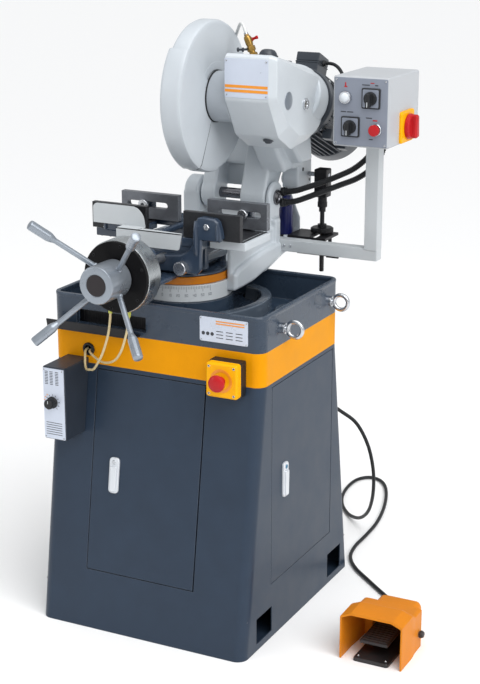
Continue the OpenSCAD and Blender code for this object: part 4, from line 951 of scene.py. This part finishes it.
def slotted(name, cx, half, body, node):
    """Jaw plate with its long slot."""
    bm = bmesh.new()
    x0, x1 = cx - half, cx + half
    sx0 = cx + (7 if cx > -20 else -7)
    slot = [(sx0 + dx + 8 * math.cos(a), 1039 + 8 * math.sin(a)) for dx, r0 in ((51, -90), (-51, 90)) for a in [math.radians(r0 + k * 22.5) for k in range(9)]]
    rect = [(x0, 1002), (x1, 1002), (x1, 1069), (x0, 1069)]
    for y in (12.2, 29.6):
        vo = [bm.verts.new((x, y, z)) for x, z in rect]
        vi = [bm.verts.new((x, y, z)) for x, z in slot]
        es = [bm.edges.new((vo[i], vo[(i + 1) % 4])) for i in range(4)] + [bm.edges.new((vi[i], vi[(i + 1) % len(vi)])) for i in range(len(vi))]
        bmesh.ops.triangle_fill(bm, use_beauty=True, use_dissolve=False, edges=es)
        if y == 12.2:
            o0, i0 = vo, vi
    for u, v in ((o0, vo), (i0, vi)):
        for i in range(len(u)):
            bm.faces.new([u[i], u[(i + 1) % len(u)], v[(i + 1) % len(u)], v[i]])
    return put(new_obj(name, bm, jaw_light), body, node)


slotted("jaw_plate_left", -145, 83, "fixed_jaw_left", "fixed_jaw_left")
slotted("jaw_plate_right", 105, 83, "fixed_jaw_right", "fixed_jaw_right")

bm = bmesh.new()
half = [(20, 957), (54, 961), (74, 972), (87, 992), (93, 1020), (95, 1046), (101, 1057), (112, 1060), (146, 1058), (157, 1050), (164, 1024), (166, 1010),
        (161, 1002), (111, 1001), (110, 978), (101, 964), (101, 926), (92, 915)]
front = [(-20 + x, z) for x, z in half] + [(-20 - x, z) for x, z in reversed(half)]
add_prism(bm, front, "y", -134, -144)
skin = half[:-5] + [(112, 1001), (111, 978), (110, 964), (110, 928), (99, 915)]
add_prism(bm, [(-20 + x, z) for x, z in skin] + [(-20 - x, z) for x, z in reversed(skin)], "y", -143, -153, inset=3.5)
for s in (-1, 1):
    add_prism(bm, [(-20 + s * x, y) for x, y in ((70, -98), (93, -98), (93, -80), (86, -72), (80, -72), (80, -88), (70, -88))], "z", 915, 973, inset=1.5, inset_both=True)
add_box(bm, -98, 58, -137, -87, 913.5, 983.5, bev=3)
for s in (-1, 1):
    a, b = sorted((-20 + s * 48, -20 + s * 110))
    add_box(bm, a, b, -137, -87, 976, 1001, bev=3)
    a, b = sorted((-20 + s * 92, -20 + s * 101))
    add_prism(bm, [(-152, 962), (-160, 985), (-158, 1030), (-152, 1050)], "x", a, b, inset=2, inset_both=True)
    a, b = sorted((-20 + s * 152, -20 + s * 160))
    add_prism(bm, [(-152, 1004), (-158, 1006), (-157, 1030), (-152, 1050)], "x", a, b, inset=2, inset_both=True)
cc = new_obj("carriage_casting", bm, vise_blue)
put(cc, "carriage", "jaw_carriage")
screws("carriage_bolts", [(-20 + s * 127, -153, 1037) for s in (-1, 1)], (0, -1, 0), 8.5, 5, zinc, "carriage", True)
bm = bmesh.new()
for s in (-1, 1):
    a, b = sorted((-20 + s * 52, -20 + s * 207))
    add_box(bm, a, b, -133, -118, 1002, 1067, bev=1.0)
put(new_obj("moving_jaw_plates", bm, jaw), "carriage", "movable_jaws")

# bent sheet deflector
bm = bmesh.new()


def sheet_prism(pts, along, c0, c1):
    add_prism(bm, pts, along, c0, c1)


up = round_poly([(-204, 1023), (-56, 1023), (-60, 1052), (-80, 1072), (-196, 1072), (-204, 1064)], [0, 2, 14, 14, 8, 4], 4)
add_prism(bm, up, "y", -166, -164)
add_prism(bm, [(-118, -200), (-56, -200), (-56, -164), (-118, -164)], "z", 1022, 1024)
add_prism(bm, [(-58, -200), (64, -200), (60, -190), (-58, -180)], "z", 1022, 1024)
low = round_poly([(-118, 1024), (64, 1024), (56, 984), (-110, 984), (-118, 992)], [0, 0, 5, 5, 5], 4)
add_prism(bm, low, "y", -200, -198)
add_box(bm, -60, -36, -198.4, -195.5, 911, 1023, bev=0.5)
add_box(bm, -60, -36, -198, -170, 911, 914, bev=0.5)
put(new_obj("deflector_sheet", bm, sheet_white), "base", "chip_deflector")
# bed plates: frames, white on the right and blue on the left, with a dark inlay and a groove
for s, tag in ((-1, "left"), (1, "right")):
    bm = bmesh.new()
    a, b = sorted((-20 + s * 113, -20 + s * 210))
    add_box(bm, a, b, -112, 29.8, 976, 996.6, bev=2.5)
    for k in range(4):
        c = -20 + s * (124 + 25 * k)
        add_box(bm, c - 2, c + 2, -104, 22, 973.5, 977, bev=0.8)
    put(new_obj("bed_" + tag, bm, white if s > 0 else vise_blue), "base")
    bm = bmesh.new()
    a, b = sorted((-20 + s * 114, -20 + s * 192))
    add_box(bm, a, b, -110.5, 27, 994, 998, bev=0.6)
    a, b = sorted((-20 + s * 195, -20 + s * 203))
    add_box(bm, a, b, -108, 27, 994, 997.6, bev=0.6)
    put(new_obj("bed_inlay_" + tag, bm, jaw), "base")
screws("deflector_screws", [(-48, -184, 914)], (0, 0, 1), 5, 4, zinc, "base", True)

# ---------------------------------------------------------------- air clamp and handwheel
CY = (-20, 0, 947)
yf = (Vector((1, 0, 0)), Vector((0, 0, 1)), Vector((0, -1, 0)))


def ylathe(bm, prof, seg=72, c=CY):
    return add_lathe(bm, [(r, -y) for r, y in prof], (c[0], 0, c[2]), (0, -1, 0), seg, frame3=yf)


bm = bmesh.new()
ylathe(bm, [(0, -306), (84, -306), (86.5, -307), (88, -309.5), (88, -359.5), (86.6, -362), (80, -362), (80, -318), (0, -318)], 96)
put(new_obj("barrel", bm, galv), "base", "clamp_barrel")
bm = bmesh.new()
ylathe(bm, [(0, -362), (85.4, -362), (86, -363), (86, -367.6), (84.5, -369), (62, -369), (60, -368), (14, -368), (0, -368)], 96)
put(new_obj("cover_disc", bm, cover_black), "base", "clamp_cover")
screws("cover_screws", [(-20 + 76 * math.cos(a), -369, 947 + 76 * math.sin(a)) for a in [math.radians(20 + 60 * k) for k in range(6)]], (0, -1, 0), 4.2, 1.6, cover_black, "base")
bm = bmesh.new()
ylathe(bm, [(0, -370.2), (42, -370.2), (44.5, -371.5), (45.5, -374), (45.5, -452), (43.5, -456), (41, -457), (27.4, -457), (26.6, -455.6), (0, -455.6)], 80)
tips = []
for k in (45, 135, 225, 315):
    a = math.radians(k)
    d = Vector((math.cos(a), 0, math.sin(a)))
    p0 = Vector((-20, -402, 947)) + d * 40
    dr = (d * math.cos(math.radians(34)) + Vector((0, -math.sin(math.radians(34)), 0))).normalized()
    add_lathe(bm, [(0, 0), (8.5, 0), (8.5, 8), (6.5, 11), (6.5, 118), (7.2, 122), (10.6, 132), (11.8, 138), (12, 186), (11, 190), (8.5, 191.5), (0, 192)], p0, dr, 36)
put(new_obj("wheel", bm, grey_cast), "handwheel", "handwheel")
bm = bmesh.new()
ylathe(bm, [(0, -456.6), (24.4, -456.6), (25.6, -456), (26.2, -455), (26.2, -452), (0, -452)], 56)
put(new_obj("wheel_insert", bm, insert), "handwheel")
bm = bmesh.new()
ylathe(bm, [(0, 25), (11, 25), (12, 24), (12, -369.8), (0, -369.8)], 40)
for i in range(44):
    y = -280 + i * 4
    ylathe(bm, [(11.9, y), (12.4, y - 1), (12.4, y - 2), (11.9, y - 3)], 28)
put(new_obj("lead_screw", bm, steel), "handwheel", "clamp_screw")

bm = bmesh.new()
add_lathe(bm, [(10.5, -6), (12.8, -6), (12.8, 0), (16.5, 0.2), (16.8, 2.5), (15, 5.4), (12, 6), (10.5, 5)], (-189, -226.5, 712), (0, -1, 0), 44, closed=True)
add_lathe(bm, [(0, 0), (12.5, 0), (12.5, 8), (10.5, 10), (10.5, 22), (8, 27), (6, 28), (0, 28)], (200, 255, 480), (0, 1, 0), 6)
put(new_obj("grommet_and_gland", bm, rubber), "base", "glands")
bm = bmesh.new()
for x, z0 in ((-57, 850), (-7, 846)):
    zt = 947 - math.sqrt(88 ** 2 - (x + 20) ** 2) + 2
    add_lathe(bm, [(0, z0 - 2), (4.4, z0 - 2), (5, z0), (5, z0 + 5), (0, z0 + 5)], (x, -335, 0), (0, 0, 1), 24)
    add_lathe(bm, [(0, z0 + 5), (6, z0 + 5), (6, zt), (0, zt)], (x, -335, 0), (0, 0, 1), 6)
put(new_obj("push_fittings", bm, fitting_green), "base", "glands")

# ---------------------------------------------------------------- stand
for nm in ("cabinet", "front_door", "side_door"):
    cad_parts[nm].data.materials.clear()
    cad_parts[nm].data.materials.append(blue_grey)
for nm, m in (("band", orange), ("tray", tray_blue), ("chip_chute", black), ("eyebolts", zinc), ("coolant_tank", dark_paint), ("coolant_pump", motor_grey),
              ("spindle", steel), ("worm_wheel", bronze), ("rotor", steel), ("stop_bracket", black)):
    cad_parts[nm].data.materials.clear()
    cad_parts[nm].data.materials.append(m)

lean = math.atan(102.5 / 675.8)
FP = Matrix.Translation((0, -329, 0.1)) @ Matrix.Rotation(-lean, 4, "X")
SP = Matrix.Translation((293, 0, 0)) @ Matrix.Rotation(math.radians(90), 4, "Z")


def latch(tag, M, body, node):
    """Swing-handle lock: a dished housing, a lifting handle and a lock face. M puts x along the face, -y outwards."""
    bm = bmesh.new()
    out = round_poly([(-14, -46), (14, -46), (14, 46), (-14, 46)], 11, 6)
    add_prism(bm, out, "y", 0.4, -5.6, inset=1.8)
    bmesh.ops.transform(bm, matrix=M, verts=bm.verts[:])
    put(new_obj(tag + "_housing", bm, chrome_paint), body, node)
    bm = bmesh.new()
    hd = round_poly([(-8.2, -42), (8.2, -42), (9.6, 16), (9.6, 24), (-9.6, 24), (-9.6, 16)], 4, 4)
    add_prism(bm, hd, "y", -5.2, -9.8, inset=1.8)
    bmesh.ops.transform(bm, matrix=M, verts=bm.verts[:])
    put(new_obj(tag + "_handle", bm, chrome_paint), body)
    bm = bmesh.new()
    add_lathe(bm, [(0, 2), (4.6, 2), (5.6, 1), (5.6, 0), (0, 0)], (0, -5.4, 34), (0, -1, 0), 28)
    add_box(bm, -0.7, 0.7, -7.7, -7.2, 30.6, 37.4)
    bmesh.ops.transform(bm, matrix=M, verts=bm.verts[:])
    put(new_obj(tag + "_cylinder", bm, zinc if tag == "front_latch" else teal), body)


latch("front_latch", FP @ Matrix.Translation((-98, 0, 409)), "front_latch", "front_latch")
latch("side_latch", SP @ Matrix.Translation((-98, 0, 404)), "side_latch", "side_latch")

# tray: chip screen behind the front opening (its solid black backing is painted shade for the dark space behind the
# bars), drain rim, blank plate and rolled lip
bm = bmesh.new()
# solid black backing across the opening: painted shade; the small boxes below are the grille bars
add_box(bm, -226, -20, -206, -203.5, 775, 817, bev=0.6)
add_box(bm, -226, -20, -206, -196, 814.5, 817, bev=0.6)
for k in range(18):
    add_box(bm, -218 + k * 11, -212 + k * 11, -206.6, -205.5, 780, 808, bev=0.3, seg=1)
put(new_obj("chip_screen_with_shade_backing", bm, black), "base")
# drain rim and drain ring: real raised rim, with a lighter tray colour as painted highlight
bm = bmesh.new()
mid = catmull([(52, 196, 0), (92, 176, 0), (128, 134, 0), (146, 84, 0), (150, 34, 0), (143, -16, 0), (128, -58, 0), (108, -92, 0)], 8)
rows = []
for i, p in enumerate(mid):
    t = (mid[min(i + 1, len(mid) - 1)] - mid[max(i - 1, 0)]).normalized()
    n_ = Vector((t.y, -t.x, 0))
    rows.append([bm.verts.new((p.x + n_.x * w, p.y + n_.y * w, z)) for w, z in ((-15, 774), (-15, 804), (-13, 808), (-9, 809.5), (8, 809.5), (12, 808), (15, 803), (19, 774))])
for u, v in zip(rows, rows[1:]):
    for k in range(7):
        bm.faces.new([u[k], u[k + 1], v[k + 1], v[k]])
bm.faces.new(rows[0])
bm.faces.new(rows[-1])
put(new_obj("drain_rim", bm, tray_gloss_painted_highlight), "base")
bm = bmesh.new()
add_lathe(bm, [(24, 775), (46, 775), (46, 781), (43, 784), (28, 784), (24, 780)], (212, 116, 0), (0, 0, 1), 48, closed=True)
put(new_obj("drain_ring", bm, tray_gloss_painted_highlight), "base")


def rim(w, d, r, seg=8):
    pts = []
    for cx, cy, a0 in ((w / 2 - r, d / 2 - r, 0), (-w / 2 + r, d / 2 - r, 90), (-w / 2 + r, -d / 2 + r, 180), (w / 2 - r, -d / 2 + r, 270)):
        for k in range(seg + 1):
            a = math.radians(a0 + 90 * k / seg)
            pts.append((cx + r * math.cos(a), cy + r * math.sin(a)))
    return pts


bm = bmesh.new()
rings = []
for inset_, z in ((0.2, 839), (-0.9, 842), (-0.9, 847), (0.6, 849.2), (8.0, 849.6), (10.5, 848.4), (11, 843), (9.2, 838)):
    rings.append([bm.verts.new((x, y, z)) for x, y in rim(587 - 2 * inset_, 453 - 2 * inset_, 28 - inset_)])
n = len(rings[0])
for a_, b_ in zip(rings, rings[1:] + rings[:1]):
    for i in range(n):
        bm.faces.new([a_[i], a_[(i + 1) % n], b_[(i + 1) % n], b_[i]])
put(new_obj("tray_lip", bm, tray_blue), "base")
bm = bmesh.new()
add_prism(bm, round_poly([(126, 777), (255, 777), (255, 838), (126, 838)], 4), "y", -226.4, -228.0, inset=0.4)
put(new_obj("tray_plate", bm, plate), "base")
bm = bmesh.new()
add_box(bm, 170, 246, -228.3, -227.6, 822, 825)
add_box(bm, 170, 246, -228.3, -227.6, 828, 831)
put(new_obj("tray_plate_stripes", bm, stripe), "base")
bm = bmesh.new()
for z in (789, 797, 805):
    for x in (180, 206, 232):
        add_box(bm, x - 9, x + 9, -228.3, -227.6, z - 0.9, z + 0.9)
for x in (136, 148, 160):
    add_lathe(bm, [(0, 0), (4.6, 0), (4.6, 0.5), (0, 0.5)], (x, -227.8, 797), (0, -1, 0), 24)
put(new_obj("tray_plate_marks", bm, print_ink_and_hole_shade), "base")
screws("tray_plate_rivets", [(x, -228, z) for x in (130, 251) for z in (781, 834)], (0, -1, 0), 2.2, 1.3, zinc, "base")

# ---------------------------------------------------------------- feed box and stop box
bm = bmesh.new()
prof = [(-340, 502), (-340, 690), (-226.6, 690), (-226.6, 676), (-253.0, 502)]
add_prism(bm, round_poly(prof, [4, 4, 0, 0, 2], 3), "x", -254, -190, inset=2.0, inset_both=True)
put(new_obj("feed_case", bm, dark_paint), "base", "feed_box")
bm = bmesh.new()
add_prism(bm, round_poly([(-252, 505), (-192, 505), (-192, 687), (-252, 687)], 2), "y", -339.8, -342.2, inset=0.4)
put(new_obj("feed_plate", bm, plate), "base")
bm = bmesh.new()
for i in range(9):
    for c0 in (-246, -232, -216):
        add_box(bm, c0, c0 + 9, -342.5, -341.9, 646 + i * 4, 647.6 + i * 4)
for i in range(6):
    add_box(bm, -246, -200, -342.5, -341.9, 516 + i * 6, 517.4 + i * 6)
for k in range(11):
    a = math.radians(-140 + 28 * k)
    add_box(bm, -0.7, 0.7, -342.5, -341.9, 17, 21, mat=Matrix.Translation((-226, 0, 600)) @ Matrix.Rotation(a, 4, "Y"))
put(new_obj("feed_plate_marks", bm, print_ink_and_hole_shade), "base")
bm = bmesh.new()
for k in range(6):
    a = math.radians(-140 + 20 * k)
    add_box(bm, -1.2, 1.2, -342.6, -341.9, 22, 25, mat=Matrix.Translation((-226, 0, 600)) @ Matrix.Rotation(a, 4, "Y"))
put(new_obj("feed_plate_colour", bm, stripe), "base")
screws("feed_plate_screws", [(x, -342.2, z) for x in (-248, -196) for z in (509, 683)], (0, -1, 0), 2.0, 1.4, zinc, "base")
bm = bmesh.new()
add_lathe(bm, [(0, 0), (15, 0), (15, 3), (12.5, 5), (11.5, 20), (10.4, 21.5), (0, 21.5)], (-226, -342.6, 600), (0, -1, 0), 40)
for k in range(20):
    add_box(bm, -0.8, 0.8, -362, -348, 11.4, 12.8, bev=0.3, mat=Matrix.Translation((-226, 0, 600)) @ Matrix.Rotation(2 * math.pi * k / 20, 4, "Y"))
put(new_obj("feed_dial", bm, plastic_black), "feed_knob", "feed_knob")
bm = bmesh.new()
add_box(bm, -226.8, -225.2, -364.6, -364.0, 602, 610)
put(new_obj("feed_dial_mark", bm, scale_white), "feed_knob")

bm = bmesh.new()
prof = [(-254, 655), (-254, 742), (-226.6, 742), (-226.6, 676.6), (-229.8, 655)]
add_prism(bm, round_poly(prof, [3, 3, 0, 0, 0], 3), "x", 165, 251, inset=2.5, inset_both=True)
put(new_obj("stop_case", bm, plastic_black), "base", "estop_box")
bm = bmesh.new()
add_prism(bm, round_poly([(166, 656), (250, 656), (250, 741), (166, 741)], 8, 5), "y", -254, -275, inset=4)
put(new_obj("stop_cover", bm, yellow), "base")
screws("stop_cover_screws", [(208 + sx * 33, -275, 698.5 + sz * 34) for sx in (-1, 1) for sz in (-1, 1)], (0, -1, 0), 3.4, 0.8, zinc, "base")
bm = bmesh.new()
add_lathe(bm, [(22, 0), (29, 0), (29, 0.9), (22, 0.9)], (208, -274.9, 699), (0, -1, 0), 48, closed=True)
put(new_obj("stop_ring", bm, stripe), "base")
bm = bmesh.new()
add_lathe(bm, [(0, -30), (11, -30), (11, 0), (15, 0), (18, 1), (20.5, 4), (21, 8), (20, 11.5), (16.5, 14.4), (10, 16), (0, 16.4)], (208, -292, 699), (0, -1, 0), 48)
put(new_obj("mushroom", bm, red), "estop_button", "estop_button")

# ---------------------------------------------------------------- foot switch
bm = bmesh.new()
FX = 570


def hood(w, h, b):
    c = 0.42 * b
    return round_poly([(FX - w, 0), (FX - w, h - c), (FX - w + b, h), (FX + w - b, h), (FX + w, h - c), (FX + w, 0)], [0, 2.2, 3, 3, 2.2, 0], 4)


rows = []
for w, h, b, y in ((81, 124, 26, -190), (81, 126, 26, -124), (81, 124.6, 26, -115), (78.5, 107, 14, -95), (77.6, 102.4, 8, -84), (77, 101.6, 7, -44), (76.2, 100.2, 7, -41)):
    rows.append([bm.verts.new((x, y, z)) for x, z in hood(w, h, b)])
inner = []
for w, h, b, y in ((73.4, 98.6, 5, -44.4), (73.8, 99.4, 5, -84), (74.6, 103.4, 11, -93), (76.8, 120.4, 24.5, -117), (77, 122, 24.5, -124), (77, 119.8, 24.5, -160), (77, 119.6, 24.5, -190)):
    inner.append([bm.verts.new((x, y, z)) for x, z in hood(w, h, b)])
seq = rows + inner
n = len(rows[0])
for a_, b_ in zip(seq, seq[1:] + seq[:1]):
    for i in range(n - 1):
        bm.faces.new([a_[i], a_[i + 1], b_[i + 1], b_[i]])
for i in (0, n - 1):
    bm.faces.new([r[i] for r in seq])
put(new_obj("hood_shell", bm, foot_orange), "base", "foot_hood")
bm = bmesh.new()
blk = round_poly([(FX - 56, 0), (FX - 56, 82), (FX - 47, 91), (FX + 47, 91), (FX + 56, 82), (FX + 56, 0)], [0, 6, 6, 6, 6, 0], 4)
blk2 = round_poly([(FX - 52, 0), (FX - 52, 79), (FX - 45, 87), (FX + 45, 87), (FX + 52, 79), (FX + 52, 0)], [0, 6, 6, 6, 6, 0], 4)
rows = [[bm.verts.new((x, y, z)) for x, z in p] for p, y in ((blk2, 15), (blk2, -46), (blk, -46), (blk, 10), (round_poly([(FX - 51, 0), (FX - 51, 79), (FX - 44, 87), (FX + 44, 87), (FX + 51, 79), (FX + 51, 0)], [0, 6, 6, 6, 6, 0], 4), 19.6))]
for a_, b_ in zip(rows, rows[1:]):
    for i in range(len(a_) - 1):
        bm.faces.new([a_[i], a_[i + 1], b_[i + 1], b_[i]])
bm.faces.new(rows[-1])
bm.faces.new(rows[0])
for s in (-1, 1):
    a, b = sorted((FX + s * 51, FX + s * 75.5))
    add_box(bm, a, b, -44, -41, 0, 96, bev=0.8, seg=1)
add_box(bm, FX - 66, FX + 66, -44, -41, 85, 99.6, bev=0.8, seg=1)
put(new_obj("hood_tail", bm, foot_orange), "base", "foot_hood")
bm = bmesh.new()
add_prism(bm, round_poly([(FX - 46, -190), (FX + 46, -190), (FX + 46, 15), (FX - 46, 15)], 8, 4), "z", 0, 9, inset=2)
for s in (-1, 1):
    add_box(bm, FX + s * 42 - 4, FX + s * 42 + 4, -20, 12, 8, 58, bev=1.5)
add_lathe(bm, [(0, 0), (9, 0), (9, 28), (7.5, 31), (7.5, 37), (5.2, 39), (0, 39)], (FX, 13, 26), (0, 1, 0), 28)
for k in range(5):
    add_lathe(bm, [(7.4, 20 + k * 3), (9.6, 20.6 + k * 3), (9.6, 21.8 + k * 3), (7.4, 22.4 + k * 3)], (FX, 13, 26), (0, 1, 0), 28)
put(new_obj("switch_base", bm, pedal_black), "base", "foot_base")
screws("switch_base_screws", [(FX + s * 36, -176, 9) for s in (-1, 1)], (0, 0, 1), 3.4, 2.2, zinc, "base")
bm = bmesh.new()
add_cyl(bm, (FX - 45.6, -4, 46), (FX + 45.6, -4, 46), 4, 24)
add_cyl(bm, (FX - 37, -4, 46), (FX + 37, -4, 46), 9, 32, bev=1.5)
add_prism(bm, round_poly([(-169, 41), (-170, 47), (-167, 50.2), (-6, 52.2), (-4, 41.6)], [2, 2, 2, 0, 0], 3), "x", FX - 37, FX + 37, inset=2.5, inset_both=True)
for i in range(11):
    y = -162 + i * 11
    z = 50.2 + (y + 167) * 0.0124
    add_box(bm, FX - 32, FX + 32, y, y + 4, z - 1, z + 1.5, bev=0.6, seg=1)
put(new_obj("treadle", bm, pedal_black), "foot_pedal", "foot_pedal")
bm = bmesh.new()
add_lathe(bm, [(0, 0), (9, 0), (9, 6), (7, 10), (0, 10)], (FX + 80, -60, 41), (1, 0, 0), 28)
for k in range(12):
    a = 2 * math.pi * k / 12
    add_box(bm, FX + 81, FX + 86.4, -0.7, 0.7, 8.6, 9.6, bev=0.2, seg=1, mat=Matrix.Translation((0, -60, 41)) @ Matrix.Rotation(a, 4, "X"))
put(new_obj("hood_knobs", bm, pedal_black), "base")

# ---------------------------------------------------------------- floor and light
bpy.ops.mesh.primitive_plane_add(size=120, location=(0, 0, -0.0005))
floor = bpy.context.object
floor.name = "floor"
fm = bpy.data.materials.new("floor_pale")
nt, b = nodes_of(fm)
b.inputs["Base Color"].default_value = (0.98, 0.98, 0.98, 1)
b.inputs["Roughness"].default_value = 0.8
b.inputs["Specular IOR Level"].default_value = 0.1
floor.data.materials.append(fm)

bpy.context.scene.view_settings.view_transform = "Standard"
world = bpy.data.worlds.new("studio")
bpy.context.scene.world = world
world.use_nodes = True
world.node_tree.nodes["Background"].inputs["Color"].default_value = (0.97, 0.985, 1.0, 1)
world.node_tree.nodes["Background"].inputs["Strength"].default_value = 0.52


def area(name, loc, at, size, power, col=(1, 1, 1)):
    ld = bpy.data.lights.new(name, "AREA")
    ld.shape = "RECTANGLE"
    ld.size, ld.size_y = size
    ld.energy = power
    ld.color = col
    lo = bpy.data.objects.new(name, ld)
    bpy.context.scene.collection.objects.link(lo)
    lo.location = loc
    lo.rotation_euler = (Vector(at) - Vector(loc)).to_track_quat("-Z", "Y").to_euler()
    return lo


sun = bpy.data.lights.new("soft_sun", "SUN")
sun.energy = 1.9
sun.angle = math.radians(50)
so = bpy.data.objects.new("soft_sun", sun)
bpy.context.scene.collection.objects.link(so)
so.rotation_euler = Vector((-0.62, 0.42, -0.9)).to_track_quat("-Z", "Y").to_euler()
area("key_right", (3.4, -1.0, 2.4), (0.1, 0.0, 0.9), (1.4, 2.2), 22.5)
area("fill_left", (-2.6, -2.8, 2.0), (0.0, 0.0, 0.9), (1.0, 2.0), 16)
area("top_soft", (0.2, -0.2, 3.4), (0.1, 0.0, 0.8), (2.4, 2.4), 26)
